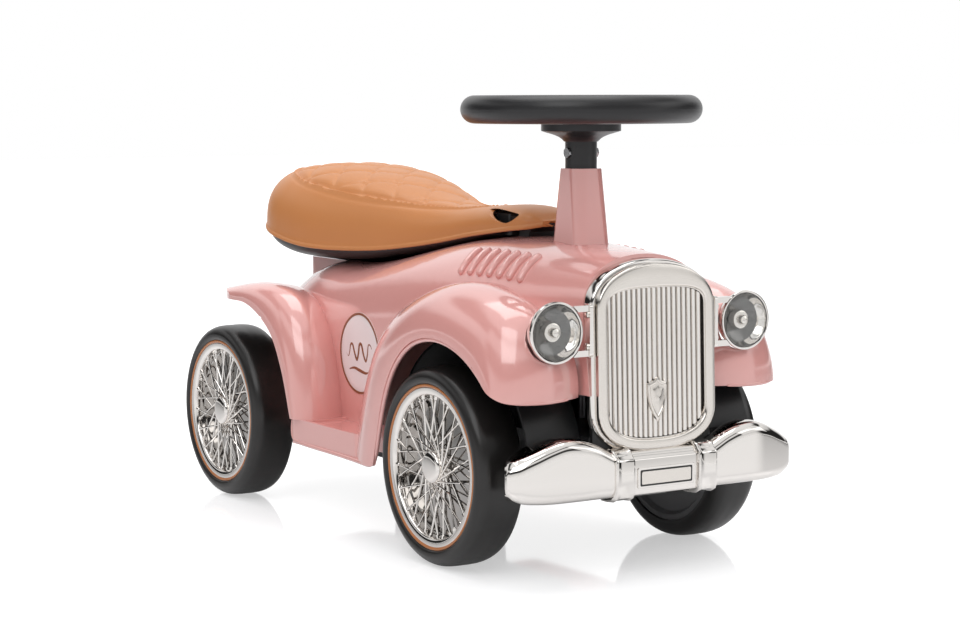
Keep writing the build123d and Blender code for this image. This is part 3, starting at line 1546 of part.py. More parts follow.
# Tray stations: y, half width, top z, depth below the top.
tray_drops = [2.5, 3.0, 3.5, 5.0, 7.5, 10.0, 12.3, 14.8]
tray_rear_drops = [17.0, 17.0, 16.0, 13.0, 8.0]


def tray_section(station, drop, wall):
    """Closed section of the tray: flat top, rounded belly."""
    y, half_width, rim, crown = station
    half = half_width - tray_inset - wall
    top = rim + tray_top_rise
    with BuildSketch(facing_front(y)) as section:
        with BuildLine():
            over = top + wall * 4
            if wall:
                Polyline((-half, top), (-half, over), (half, over), (half, top))
            else:
                Line((-half, top), (half, top))
            arch(half, top, top - tray_top_rise - drop + wall, 3.2)
        make_face()
    return section.sketch


tray_inset = seat_wall + tray_gap
tray_rear = [
    (y, half_width + tray_inset, rim, crown)
    for y, half_width, rim, crown in (
        seat_rear_station(angle, seat_rear_radius - tray_inset) for angle in rear_angles[:5]
    )
]
tray_outside = list(zip(seat_stations[3:] + tray_rear, tray_drops + tray_rear_drops))
with BuildPart() as seat_tray:
    loft(sections=[tray_section(station, drop, 0.0) for station, drop in tray_outside])
    tray_inside = [
        ((station[0] + shift,) + station[1:], drop)
        for shift, (station, drop) in zip([tray_wall] + [0] * 11 + [-tray_wall], tray_outside)
    ]
    loft(
        sections=[tray_section(station, drop, tray_wall) for station, drop in tray_inside],
        mode=Mode.SUBTRACT,
    )
    # bosses that meet those of the shell
    for x, y, foot_z in boss_places:
        with BuildSketch(Plane.XY.offset(foot_z)) as tray_boss:
            with Locations((x, y)):
                Circle(boss_radius)
        extrude(amount=boss_seat_z - foot_z)
    # box that fills the neck behind the windows, open below
    for margin, mode in ((0.0, Mode.ADD), (tray_wall, Mode.SUBTRACT)):
        with BuildSketch(Plane.XY.offset(neck_box_bottom_z - margin)) as neck_box:
            with Locations((0, sum(neck_box_y) / 2)):
                RectangleRounded(
                    2 * (neck_box_half_width - margin), neck_box_y[1] - neck_box_y[0] - 2 * margin, 3
                )
        extrude(amount=neck_box_top_z - neck_box_bottom_z, mode=mode)
save(seat_tray, "seat_tray")
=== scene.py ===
"""Dressed model of a child's ride-on roadster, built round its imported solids."""

import math

import bmesh
import bpy
from bpy.props import FloatProperty, FloatVectorProperty, IntProperty, PointerProperty
from mathutils import Matrix, Vector
from mathutils.bvhtree import BVHTree


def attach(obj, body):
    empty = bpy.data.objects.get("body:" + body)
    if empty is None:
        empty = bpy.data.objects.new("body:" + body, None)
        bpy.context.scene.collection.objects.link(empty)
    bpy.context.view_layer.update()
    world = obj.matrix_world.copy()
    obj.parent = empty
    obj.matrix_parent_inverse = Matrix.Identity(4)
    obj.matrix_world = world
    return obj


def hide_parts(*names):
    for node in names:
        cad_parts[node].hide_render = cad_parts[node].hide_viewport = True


bl_info = {
    "name": "Ride-on roadster",
    "version": (1, 0, 0),
    "blender": (4, 5, 0),
    "location": "View3D > Sidebar > Roadster",
    "description": "Builds the visible pieces and finishes of a child's ride-on roadster",
    "category": "Object",
}

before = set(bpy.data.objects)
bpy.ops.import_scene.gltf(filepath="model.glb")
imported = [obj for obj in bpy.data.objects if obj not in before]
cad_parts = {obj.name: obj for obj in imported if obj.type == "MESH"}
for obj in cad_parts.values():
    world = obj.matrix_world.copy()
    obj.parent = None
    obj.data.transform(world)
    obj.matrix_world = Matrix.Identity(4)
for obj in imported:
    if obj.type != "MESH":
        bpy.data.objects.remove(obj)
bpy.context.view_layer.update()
MM = 0.001

FRONT_AXLE_Y = -172.5
REAR_AXLE_Y = 228.5
AXLE_Z = 83.5
LAMP = Vector((94.9, -292.0, 202.9))
GRILLE_FRONT_Y = -300.2
GRILLE_FOOT_Z = 102.5
GRILLE_LEAN = math.tan(math.radians(1.75))
NOSE_EDGE_Y = -289.0
NOSE_CUT_Z = 150.0
NOSE_LEAN = math.tan(math.radians(7.1))
WELL_REACH = 160.0 * MM
TOWARD_AXLE = -0.06
SPOKE_RADIUS = 0.85
SPOKE_CROSSING = 66
WHEEL_SEGMENTS = 128
WELD = 0.02 * MM
NO_RADIUS = 0.001
PLACES = {
    "front_left": (1, FRONT_AXLE_Y),
    "front_right": (-1, FRONT_AXLE_Y),
    "rear_left": (1, REAR_AXLE_Y),
    "rear_right": (-1, REAR_AXLE_Y),
}
MATERIALS = {}


# ---------- settings
COLOUR = dict(subtype="COLOR", size=3, min=0, max=1)


class RoadsterColours(bpy.types.PropertyGroup):
    paint: FloatVectorProperty(
        name="Paint", description="Gloss colour of body and fenders",
        **COLOUR, default=(0.79, 0.37, 0.34))
    seat: FloatVectorProperty(
        name="Seat", description="Tan colour of the seat",
        **COLOUR, default=(0.60, 0.235, 0.075))
    ring: FloatVectorProperty(
        name="Trim ring", description="Thin ring between tyre and wheel cover",
        **COLOUR, default=(0.50, 0.17, 0.045))


class RoadsterSizes(bpy.types.PropertyGroup):
    spoke_pairs: IntProperty(
        name="Spoke pairs", description="Crossed pairs of wire spokes in each wheel",
        default=18, min=8, max=30)
    spoke_radius: FloatProperty(
        name="Spoke radius", description="Half the thickness of a spoke",
        default=SPOKE_RADIUS * MM, min=0.0003, max=0.003, unit="LENGTH")
    grille_bars: IntProperty(
        name="Grille bars", description="Upright bars in the grille", default=19, min=7, max=31)
    louvres: IntProperty(
        name="Louvres", description="Raised ribs on each shoulder of the hood",
        default=7, min=3, max=12)


def sizes():
    return bpy.context.scene.roadster_sizes


# ---------- modelling helpers
def deselect():
    bpy.ops.object.select_all(action="DESELECT")


def pick(piece):
    """Selects a piece alone and makes it active."""
    deselect()
    piece.select_set(True)
    bpy.context.view_layer.objects.active = piece


def smooth_line(points, steps, closed=False):
    """Points along a smooth curve through the given ones."""
    given = [Vector(p) for p in points]
    count = len(given)
    line = []
    for index in range(count if closed else count - 1):
        if closed:
            a, b, c, d = (given[(index + shift) % count] for shift in (-1, 0, 1, 2))
        else:
            a, b, c, d = (given[min(max(index + shift, 0), count - 1)] for shift in (-1, 0, 1, 2))
        for step in range(steps):
            t = step / steps
            line.append(0.5 * (2 * b + (c - a) * t + (2 * a - 5 * b + 4 * c - d) * t * t
                               + (3 * b - a - 3 * c + d) * t ** 3))
    if not closed:
        line.append(given[-1])
    return line


def smooth_pairs(pairs, steps, closed=False):
    """Pairs along a smooth flat curve through the given ones."""
    return [(p.x, p.y) for p in smooth_line(pairs, steps, closed)]


def table(rows, y):
    """Values of a table of rows (y, value, ...) at y, smoothly between the rows."""
    if y <= rows[0][0]:
        return rows[0][1:]
    if y >= rows[-1][0]:
        return rows[-1][1:]
    index = max(i for i, row in enumerate(rows) if row[0] <= y)
    index = min(index, len(rows) - 2)
    b, c = rows[index], rows[index + 1]
    a = rows[max(index - 1, 0)]
    d = rows[min(index + 2, len(rows) - 1)]
    t = (y - b[0]) / (c[0] - b[0])
    values = []
    for k in range(1, len(b)):
        slope = (c[k] - b[k]) / (c[0] - b[0])
        left = (c[k] - a[k]) / (c[0] - a[0]) if b is not a else slope
        right = (d[k] - b[k]) / (d[0] - b[0]) if d is not c else slope
        h = c[0] - b[0]
        values.append(
            (2 * t ** 3 - 3 * t * t + 1) * b[k] + (t ** 3 - 2 * t * t + t) * h * left
            + (3 * t * t - 2 * t ** 3) * c[k] + (t ** 3 - t * t) * h * right)
    return tuple(values)


def placed(name, data):
    """A new object of the scene."""
    piece = bpy.data.objects.new(name, data)
    bpy.context.scene.collection.objects.link(piece)
    return piece


def skin(name, rows, close_rows=True, close_ends=False):
    """Mesh skin through rows of points in millimetres, each row as long as the next."""
    mesh = bpy.data.meshes.new(name)
    width = len(rows[0])
    points = [Vector(p) * MM for row in rows for p in row]
    faces = []
    for r in range(len(rows) if close_ends else len(rows) - 1):
        for c in range(width if close_rows else width - 1):
            a, b = r * width + c, r * width + (c + 1) % width
            below = ((r + 1) % len(rows)) * width
            faces.append((a, b, below + (c + 1) % width, below + c))
    mesh.from_pydata(points, [], faces)
    return placed(name, mesh)


def edited(piece, operator, **values):
    """Runs an edit operator on all of a piece and points all its faces outwards."""
    pick(piece)
    bpy.ops.object.mode_set(mode="EDIT")
    bpy.ops.mesh.select_all(action="SELECT")
    operator(**values)
    bpy.ops.mesh.normals_make_consistent(inside=False)
    bpy.ops.object.mode_set(mode="OBJECT")
    return piece


def tidy(piece):
    """Merges doubled points."""
    return edited(piece, bpy.ops.mesh.remove_doubles, threshold=WELD)


def capped(name, rows, **closing):
    """Skin through rows, with its open ends filled."""
    return edited(skin(name, rows, **closing), bpy.ops.mesh.fill_holes, sides=0)


def turned(name, profile, segments, matrix=None, closed=False):
    """A circle extruded and resized along its axis, by (along, radius) in millimetres."""
    deselect()
    along, radius = profile[0]
    bpy.ops.mesh.primitive_circle_add(
        vertices=segments, radius=max(radius, NO_RADIUS) * MM, location=(0, 0, along * MM))
    piece = bpy.context.object
    piece.name = name
    bpy.ops.object.transform_apply(location=True, rotation=True, scale=True)
    bpy.ops.object.mode_set(mode="EDIT")
    bpy.ops.mesh.select_all(action="SELECT")
    for next_along, next_radius in profile[1:] + (profile[:1] if closed else []):
        bpy.ops.mesh.extrude_region_move(
            TRANSFORM_OT_translate={"value": (0, 0, (next_along - along) * MM)})
        share = max(next_radius, NO_RADIUS) / max(radius, NO_RADIUS)
        bpy.ops.transform.resize(value=(share, share, 1), center_override=(0, 0, next_along * MM))
        along, radius = next_along, next_radius
    bpy.ops.object.mode_set(mode="OBJECT")
    tidy(piece)
    if matrix:
        piece.data.transform(matrix)
        piece.data.update()
    return piece


def looking(direction, origin):
    """Matrix that lays local Z along a direction, at an origin in millimetres."""
    turn = Vector(direction).to_track_quat("Z", "Y").to_matrix().to_4x4()
    return Matrix.Translation(Vector(origin) * MM) @ turn


def join(pieces, name):
    """Joins pieces into one."""
    deselect()
    for piece in pieces:
        piece.select_set(True)
    bpy.context.view_layer.objects.active = pieces[0]
    bpy.ops.object.join()
    pieces[0].name = name
    pieces[0].data.name = name
    return pieces[0]


def copied(piece, name, matrix):
    """A copy with its own mesh, moved by a matrix."""
    twin = placed(name, piece.data.copy())
    twin.data.transform(matrix)
    return twin


def modify(piece, kind, **values):
    """Adds a modifier, sets it and applies it."""
    pick(piece)
    modifier = piece.modifiers.new(kind.title(), kind)
    for key, value in values.items():
        setattr(modifier, key, value)
    bpy.ops.object.modifier_apply(modifier=modifier.name)
    return piece


def finish(piece, key):
    """Gives a piece one of the finishes."""
    piece.data.materials.clear()
    piece.data.materials.append(MATERIALS[key])


def dress(piece, key, body, replaced=(), angle=35):
    """Gives a finished piece its material, smooth shading and body, and hides the solids that it
    replaces.
    """
    pick(piece)
    bpy.ops.object.shade_smooth_by_angle(angle=math.radians(angle))
    finish(piece, key)
    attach(piece, body)
    if replaced:
        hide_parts(*replaced)


def dress_sides(piece, key, node=None):
    """Dresses a piece of the left side and its mirror image on the right, both on the body."""
    twin = copied(piece, piece.name.replace("_left", "_right"), Matrix.Scale(-1, 4, (1, 0, 0)))
    twin.data.flip_normals()
    for half, side in ((twin, "_right"), (piece, "_left")):
        dress(half, key, "body", [node + side] if node else ())


def both(name):
    """Names of a left and right pair."""
    return f"{name}_left", f"{name}_right"


def four(name):
    """Names of the four pieces of the wheels."""
    return [f"{name}_{place}" for place in PLACES]


# ---------- materials
def feed(tree, node, inputs):
    """Links or sets inputs of a node."""
    for key, value in inputs.items():
        if isinstance(value, bpy.types.NodeSocket):
            tree.links.new(value, node.inputs[key])
        else:
            node.inputs[key].default_value = value
    return node


def wired(tree, kind, inputs=None, **settings):
    """Adds a node with its settings, then links or sets its inputs."""
    node = tree.nodes.new("ShaderNode" + kind)
    for key, value in settings.items():
        setattr(node, key, value)
    return feed(tree, node, inputs or {})


def maths(tree, operation, *values):
    """The result of a sum on numbers."""
    return wired(tree, "Math", dict(enumerate(values)), operation=operation).outputs[0]


def vector_maths(tree, operation, *values):
    """The result of a sum on vectors, a number for dot products and lengths."""
    outputs = wired(tree, "VectorMath", dict(enumerate(values)), operation=operation).outputs
    return outputs["Value" if operation in ("DOT_PRODUCT", "LENGTH") else "Vector"]


def new_material(name):
    """A material with its node tree and the shader in it."""
    material = bpy.data.materials.new(name)
    material.use_nodes = True
    return material, material.node_tree, material.node_tree.nodes["Principled BSDF"]


def mix(tree, factor, first, second):
    """The colour between two colours, or sockets that give them."""
    inputs = {"Factor": factor, 6: first, 7: second}
    return wired(tree, "Mix", inputs, data_type="RGBA").outputs[2]


def new_group(name, inputs, outputs):
    """A node group whose inputs, with their defaults, and outputs are all plain numbers."""
    group = bpy.data.node_groups.new(name, "ShaderNodeTree")
    for label, default in inputs.items():
        socket = group.interface.new_socket(label, in_out="INPUT", socket_type="NodeSocketFloat")
        socket.default_value = default
    for label in outputs:
        group.interface.new_socket(label, in_out="OUTPUT", socket_type="NodeSocketFloat")
    return group, group.nodes.new("NodeGroupInput").outputs, group.nodes.new("NodeGroupOutput")


def moulded_surface():
    """Group: faint waviness of a moulding, with a little uneven gloss."""
    group, given, out = new_group(
        "moulded_surface", {"Scale": 30.0, "Roughness": 0.3, "Spread": 0.05},
        ("Height", "Roughness"))
    place = wired(group, "TexCoord")
    noise = wired(group, "TexNoise", {
        "Vector": place.outputs["Object"], "Scale": given["Scale"], "Detail": 3.0})
    low, high = (maths(group, operation, given["Roughness"], given["Spread"])
                 for operation in ("SUBTRACT", "ADD"))
    gloss = wired(group, "MapRange", {"Value": noise.outputs["Fac"], "To Min": low, "To Max": high})
    feed(group, out, {"Height": noise.outputs["Fac"], "Roughness": gloss.outputs["Result"]})
    return group


def fine_grain():
    """Group: small pebbled grain, as on moulded leather looks and rubber."""
    group, given, out = new_group(
        "fine_grain", {"Scale": 900.0, "Wear Scale": 14.0}, ("Height", "Mask"))
    place = wired(group, "TexCoord").outputs["Object"]
    cells = wired(group, "TexVoronoi", {"Vector": place, "Scale": given["Scale"]},
                  feature="SMOOTH_F1")
    wear = wired(group, "TexNoise", {"Vector": place, "Scale": given["Wear Scale"], "Detail": 4.0})
    feed(group, out, {"Height": cells.outputs["Distance"], "Mask": wear.outputs["Fac"]})
    return group


def wheel_well():
    """Group: marks the faces that look towards a wheel's axle from inside a fender, for painted
    black shade.
    """
    group, given, out = new_group(
        "wheel_well", {"Axle Y": 0.0, "Axle Z": AXLE_Z * MM, "Outer Face": 0.1365}, ("Mask",))
    place = wired(group, "TexCoord").outputs
    axle = wired(group, "CombineXYZ", {"Y": given["Axle Y"], "Z": given["Axle Z"]})
    level = vector_maths(group, "MULTIPLY", place["Object"], (0, 1, 1))
    spoke = vector_maths(group, "SUBTRACT", level, axle.outputs[0])
    toward = vector_maths(group, "DOT_PRODUCT", vector_maths(group, "NORMALIZE", spoke),
                          place["Normal"])
    reach = vector_maths(group, "LENGTH", spoke)
    parts = wired(group, "SeparateXYZ", {0: place["Object"]})
    across = maths(group, "ABSOLUTE", parts.outputs["X"])
    well_shade_mask = 1.0
    for value, limit in ((across, given["Outer Face"]), (toward, TOWARD_AXLE), (reach, WELL_REACH)):
        well_shade_mask = maths(group, "MULTIPLY", well_shade_mask, maths(group, "LESS_THAN", value, limit))
    feed(group, out, {"Mask": well_shade_mask})
    return group


def group_of(make):
    """The node group that a function makes, made only once."""
    return bpy.data.node_groups.get(make.__name__) or make()


def surface(name, colour, roughness, metallic=0.0, scale=30.0, spread=0.05, bump=0.03,
            coat=0.0, coat_index=1.5, grain=0.0, grain_scale=900.0, shade=0.0):
    """Procedural material: colour with a slight drift, uneven gloss and a fine relief."""
    material, tree, shader = new_material(name)
    moulded = wired(tree, "Group", {"Scale": scale, "Roughness": roughness, "Spread": spread},
                    node_tree=group_of(moulded_surface))
    grains = wired(tree, "Group", {"Scale": grain_scale}, node_tree=group_of(fine_grain))
    relief = wired(tree, "Bump", {
        "Strength": bump, "Distance": 1.0 * MM, "Height": moulded.outputs["Height"]})
    if grain:
        relief = wired(tree, "Bump", {
            "Strength": grain, "Distance": 0.4 * MM, "Height": grains.outputs["Height"],
            "Normal": relief.outputs["Normal"]})
    drift = mix(tree, grains.outputs["Mask"], (*colour, 1.0),
                (*[c * (1 - shade) for c in colour], 1.0))
    feed(tree, shader, {
        "Base Color": drift, "Metallic": metallic,
        "Roughness": moulded.outputs["Roughness"], "Normal": relief.outputs["Normal"],
        "Coat Weight": coat, "Coat Roughness": 0.09, "Coat IOR": coat_index})
    return material


def clear_plastic(name, colour, roughness, **settings):
    """Clear moulded plastic with a faint unevenness of its gloss."""
    material = surface(name, colour, roughness, **settings)
    feed(material.node_tree, material.node_tree.nodes["Principled BSDF"],
         {"Transmission Weight": 1.0, "IOR": 1.33})
    return material


def gloss_over_black(name, colour, roughness, **settings):
    """Gloss paint outside, and painted shade inside the wheel wells: black without coat."""
    material = surface(name, colour, roughness, **settings)
    tree = material.node_tree
    shader = tree.nodes["Principled BSDF"]
    front, rear = (wired(tree, "Group", {"Axle Y": axle_y * MM}, node_tree=group_of(wheel_well))
                   for axle_y in (FRONT_AXLE_Y, REAR_AXLE_Y))
    well_shade_mask = maths(tree, "MAXIMUM", front.outputs[0], rear.outputs[0])
    paint = shader.inputs["Base Color"].links[0].from_socket
    # Painted shade: black without coat on the faces inside the wheel wells.
    feed(tree, shader, {"Base Color": mix(tree, well_shade_mask, paint, (*BLACK, 1.0)),
                        "Coat Weight": maths(tree, "SUBTRACT", 1.0, well_shade_mask)})
    return material


BLACK = (0.013, 0.013, 0.014)
GLOSS = dict(scale=9, spread=0.03, bump=0.02, coat=1.0, coat_index=1.9, shade=0.04)
MAKERS = {"fender": gloss_over_black, "lens": clear_plastic}
# Finish, name of its material, colour or the setting that holds it, roughness, and the rest
# of its surface.
FINISHES = (
    ("paint", "pink_gloss", "paint", 0.25, GLOSS),
    # The fender finish paints black shade inside the wheel wells.
    ("fender", "fender_gloss", "paint", 0.25, GLOSS),
    ("black", "black_satin_plastic", BLACK, 0.42,
     dict(scale=40, grain=0.10, grain_scale=1400, shade=0.3)),
    ("grey", "grey_plastic", (0.28, 0.28, 0.29), 0.45, dict(scale=40, grain=0.08, shade=0.1)),
    ("steering", "steering_black", (0.013, 0.0125, 0.014), 0.36,
     dict(scale=24, grain=0.16, grain_scale=1100, shade=0.25)),
    ("button", "ivory_button", (0.62, 0.58, 0.50), 0.3, dict(coat=0.3, shade=0.05)),
    ("seat", "tan_seat", "seat", 0.40,
     dict(scale=18, bump=0.05, grain=0.10, grain_scale=1300, shade=0.10)),
    ("tyre", "tyre_rubber", (0.015, 0.0135, 0.013), 0.30,
     dict(scale=16, spread=0.06, bump=0.04, grain=0.04, grain_scale=1600, shade=0.3)),
    ("ring", "ring_orange", "ring", 0.32, dict(coat=0.3, shade=0.08)),
    ("chrome", "bright_chrome", (0.77, 0.74, 0.71), 0.045,
     dict(metallic=1.0, scale=14, spread=0.02, bump=0.02, shade=0.02)),
    ("satin_chrome", "satin_chrome", (0.74, 0.70, 0.655), 0.17,
     dict(metallic=1.0, scale=60, spread=0.03, bump=0.02, shade=0.03)),
    # Darker chrome of the lamp reflectors: painted shade inside the lamps.
    ("dark_chrome", "dark_chrome", (0.17, 0.165, 0.16), 0.16,
     dict(metallic=1.0, scale=20, bump=0.02, shade=0.05)),
    # Darker chrome laid over the wheel dish: painted dark reflection.
    ("dish", "dish_chrome", (0.40, 0.385, 0.37), 0.07,
     dict(metallic=1.0, scale=14, spread=0.02, bump=0.02, shade=0.04)),
    # Black for the printed border of the plate, and painted shade in the gaps behind the grille
    # bars.
    ("groove", "groove_black", (0.02, 0.02, 0.021), 0.5, dict(scale=40, shade=0.2)),
    ("roundel", "roundel_pale", (0.86, 0.74, 0.74), 0.30, dict(coat=0.4, shade=0.02)),
    ("brown", "roundel_brown", (0.25, 0.070, 0.022), 0.36, dict(coat=0.2, shade=0.1)),
    ("lens", "clear_plastic", (0.97, 0.98, 0.98), 0.03, dict(scale=60, spread=0.02, bump=0.01)),
    ("steel", "zinc_steel", (0.46, 0.46, 0.47), 0.34,
     dict(metallic=1.0, scale=120, spread=0.08, bump=0.04, shade=0.15)),
)
# The solids that each finish goes on. Finer pieces take the place of some of them.
SOLIDS = {
    "paint": ("body_shell", "steering_cowl"),
    "fender": (*both("front_fender"), *both("rear_fender")),
    "black": ("chassis_pan", "front_beam", "tie_rod", "storage_bin", "seat_tray",
              "seat_hinge_block", *both("wheel_liner"), *both("knuckle")),
    "grey": four("wheel_core"),
    "steel": ("kingpins", "steering_shaft", "rear_axle", "axle_spacers", "seat_hinge_pin",
              "clamp_screw"),
    "steering": ("steering_column", "steering_wheel"),
    "button": ("horn_button", *both("music_button")),
    "chrome": ("grille_surround", "grille_bars", "grille_ornament", "bumper", "bumper_plate",
               *four("wheel_cover"), *both("headlamp_shell"), *both("headlamp_reflector"),
               *both("headlamp_bulb"), *both("headlamp_bracket")),
    "lens": both("headlamp_lens"),
    "ring": four("trim_ring"),
    "tyre": four("tyre"),
    "seat": ("seat_shell",),
}


class ROADSTER_OT_finishes(bpy.types.Operator):
    """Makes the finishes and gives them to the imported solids"""
    bl_idname = "roadster.finishes"
    bl_label = "Finishes"

    def execute(self, context):
        for key, name, colour, roughness, settings in FINISHES:
            if isinstance(colour, str):
                colour = tuple(getattr(context.scene.roadster_colours, colour))
            MATERIALS[key] = MAKERS.get(key, surface)(name, colour, roughness, **settings)
        for key, names in SOLIDS.items():
            for name in names:
                finish(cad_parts[name], key)
        return {"FINISHED"}


# ---------- wheels
def wheel_matrix(place):
    """Puts a piece turned about local Z, with Z outwards from the car's middle, at a wheel."""
    side, y = PLACES[place]
    turn = Matrix(((0, 0, 1), (1, 0, 0), (0, 1, 0))).to_4x4()
    about = Matrix.Rotation(0 if side > 0 else math.pi, 4, "Z")
    return Matrix.Translation(Vector((0, y, AXLE_Z)) * MM) @ about @ turn


def at_wheels(piece, name, key, replaced=None):
    """Puts a copy of a piece on each wheel and removes the piece itself."""
    for place in PLACES:
        twin = copied(piece, f"{name}_{place}", wheel_matrix(place))
        dress(twin, key, f"wheel_{place}", [f"{replaced}_{place}"] if replaced else ())
    bpy.data.objects.remove(piece)


class ROADSTER_OT_tyres(bpy.types.Operator):
    """Turns the tyres and the thin rings inside them"""
    bl_idname = "roadster.tyres"
    bl_label = "Tyres"

    def execute(self, context):
        tread = smooth_pairs([
            (99.4, 69.0), (99.0, 72.5), (99.9, 77.2), (102.6, 80.9), (108.0, 82.9), (115.0, 83.5),
            (122.0, 83.5), (129.0, 83.4), (135.5, 82.6), (140.2, 80.2), (142.9, 76.2),
            (143.4, 73.0), (142.9, 70.6), (141.9, 69.5)], 5)
        inside = [(141.0, 68.6), (138.0, 68.2), (120.0, 68.0), (102.0, 68.0)]
        at_wheels(turned("tyre_body", tread + inside, WHEEL_SEGMENTS, closed=True),
                  "tyre_rubber", "tyre", "tyre")
        ring = smooth_pairs([(139.6, 69.0), (141.6, 69.1), (142.2, 68.3), (142.1, 67.3),
                             (141.4, 66.7), (139.6, 66.7)], 3)
        at_wheels(turned("ring_body", ring, WHEEL_SEGMENTS, closed=True),
                  "copper_ring", "ring", "trim_ring")
        return {"FINISHED"}


def spoke(pair, lean):
    """One wire spoke of a crossed pair, from its nipple at the rim to the hub."""
    rim = 2 * math.pi / sizes().spoke_pairs * (pair + 0.25 * lean)
    hub = rim + math.radians(lean * SPOKE_CROSSING)
    foot = Vector((60.2 * math.cos(rim), 60.2 * math.sin(rim), 137.2 + 0.8 * lean))
    head = Vector((13.0 * math.cos(hub), 13.0 * math.sin(hub), 136.6 - 0.9 * lean))
    scale = sizes().spoke_radius / (SPOKE_RADIUS * MM)
    wire = [(0, 1.6), (3.2, 1.6), (3.8, 1.0), (4.4, SPOKE_RADIUS),
            ((head - foot).length, SPOKE_RADIUS)]
    return turned("spoke", [(along, radius * scale) for along, radius in wire], 8,
                  looking(head - foot, foot))


class ROADSTER_OT_wheel_covers(bpy.types.Operator):
    """Builds the chrome covers: rim flange, dish, stepped hub cap and crossed spokes, and lays
    darker chrome over the dish as painted dark reflection
    """
    bl_idname = "roadster.wheel_covers"
    bl_label = "Wheel covers"

    def execute(self, context):
        flange = smooth_pairs([(140.0, 66.9), (141.3, 66.6), (141.5, 65.2), (141.2, 62.6),
                               (140.2, 60.6), (138.0, 59.6), (134.0, 59.0)], 4)
        dish = smooth_pairs([(130.4, 58.6), (129.6, 56.5), (129.9, 50.0), (131.6, 34.0),
                             (132.6, 22.0), (132.8, 16.6)], 5)
        hub_cap = [(133.5, 16.2), (134.5, 16.0), (135.2, 15.4), (135.6, 14.8), (137.0, 14.6),
                   (137.4, 14.2), (137.5, 13.7), (139.2, 13.6), (140.8, 13.3), (141.8, 12.5),
                   (142.5, 10.6), (143.0, 7.4), (143.3, 3.6), (143.35, 0)]
        back = [(126.0, 0.0), (126.0, 58.0), (138.0, 66.0), (140.0, 66.9)]
        profile = back + flange[1:] + dish + hub_cap
        parts = [turned("cover_body", profile[::-1], WHEEL_SEGMENTS)]
        parts += [spoke(pair, lean) for pair in range(sizes().spoke_pairs) for lean in (-1, 1)]
        at_wheels(join(parts, "cover_body"), "wire_cover", "chrome",
                  "wheel_cover")
        # Painted dark reflection: a thin sheet of darker chrome laid over the dish.
        front, rear = ([(along + lift, radius) for along, radius in dish]
                       for lift in (0.35, 0.05))
        mirror = turned("dish_body", front + rear[::-1], WHEEL_SEGMENTS, closed=True)
        at_wheels(mirror, "mirror_dish", "dish")
        return {"FINISHED"}


# ---------- outlines and surfaces
def quarter(centre, radii, power, count):
    """Quarter of a squarish ellipse, from the end of its second radius to that of its first."""
    turns = (math.pi / 2 * k / count for k in range(count + 1))
    return [(centre[0] + radii[0] * math.sin(turn) ** power,
             centre[1] + radii[1] * max(math.cos(turn), 0) ** power) for turn in turns]


def grille_half(half, bottom, low, shoulder, top, foot_squareness, squareness):
    """Right half of a grille outline, from the middle of its foot to its crown, as (x, z)."""
    foot = quarter((0, low), (half, bottom - low), 2 / foot_squareness, 30)
    side = [(half, low + (shoulder - low) * k / 14) for k in range(1, 14)]
    crown = quarter((0, shoulder), (half, top - shoulder), 2 / squareness, 40)
    return foot + side + crown[::-1]


def leaning(z, depth):
    """Y of a point at a height, at a depth behind the leaning front face of the grille."""
    return GRILLE_FRONT_Y + (z - GRILLE_FOOT_Z) * GRILLE_LEAN + depth


def grille_loop(half_line, depth):
    """Closed loop of the grille at a depth behind its front face, evenly spaced."""
    points = resample([Vector((x, 0, z)) for x, z in half_line], 72)
    ring = points + [Vector((-p.x, 0, p.z)) for p in points[-2:0:-1]]
    return [(p.x, leaning(p.z, depth), p.z) for p in ring]


def resample(points, count):
    """The same line with evenly spaced points."""
    lengths = [0.0]
    for a, b in zip(points, points[1:]):
        lengths.append(lengths[-1] + (b - a).length)
    line, index = [], 0
    for k in range(count):
        wanted = lengths[-1] * k / (count - 1)
        while index < len(points) - 2 and lengths[index + 1] < wanted:
            index += 1
        step = lengths[index + 1] - lengths[index]
        share = (wanted - lengths[index]) / step if step else 0
        line.append(points[index].lerp(points[index + 1], min(max(share, 0), 1)))
    return line


def frame_half(margin):
    """Outer outline of the grille's frame, moved inwards by a margin."""
    return grille_half(58.6 - margin, 102.5 + margin, 137.0, 219.0, 255.0 - margin, 2.3, 2.1)


def window_half(margin):
    """Outline of the opening in the grille's frame, moved inwards by a margin."""
    return grille_half(48.6 - margin, 113.0 + margin, 139.5, 218.5, 235.0 - margin, 2.6, 3.2)


def height_at(line, x):
    """Heights of the foot and of the crown of a half outline at x."""
    foot, crown = line[0][1], line[-1][1]
    for (xa, za), (xb, zb) in zip(line, line[1:]):
        if xa != xb and min(xa, xb) <= x <= max(xa, xb):
            z = za + (zb - za) * (x - xa) / (xb - xa)
            if xb > xa:
                foot = z
            else:
                crown = z
    return foot, crown


def carrier(name):
    """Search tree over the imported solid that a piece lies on."""
    mesh = bmesh.new()
    mesh.from_mesh(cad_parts[name].data)
    tree = BVHTree.FromBMesh(mesh)
    mesh.free()
    return tree


def landed(tree, start, direction, lift):
    """Where a ray from a point in millimetres meets the carrier, lifted off its surface."""
    hit, normal, _, _ = tree.ray_cast(Vector(start) * MM, Vector(direction))
    if hit is None:
        raise RuntimeError("nothing below " + str(tuple(start)))
    if normal.dot(Vector(direction)) > 0:
        normal = -normal
    return hit / MM + normal * lift


def rod(name, line, radius, around, taper):
    """Round rod along points in millimetres, its radius tapered along its length."""
    last = len(line) - 1
    rows, side = [], None
    for index, point in enumerate(line):
        along = (line[min(index + 1, last)] - line[max(index - 1, 0)]).normalized()
        if side is None:
            side = along.orthogonal().normalized()
        side = (side - along * side.dot(along)).normalized()
        other = along.cross(side)
        r = radius * taper(index / last)
        rows.append([point + (side * math.cos(a) + other * math.sin(a)) * r
                     for a in (2 * math.pi * k / around for k in range(around))])
    return capped(name, rows)


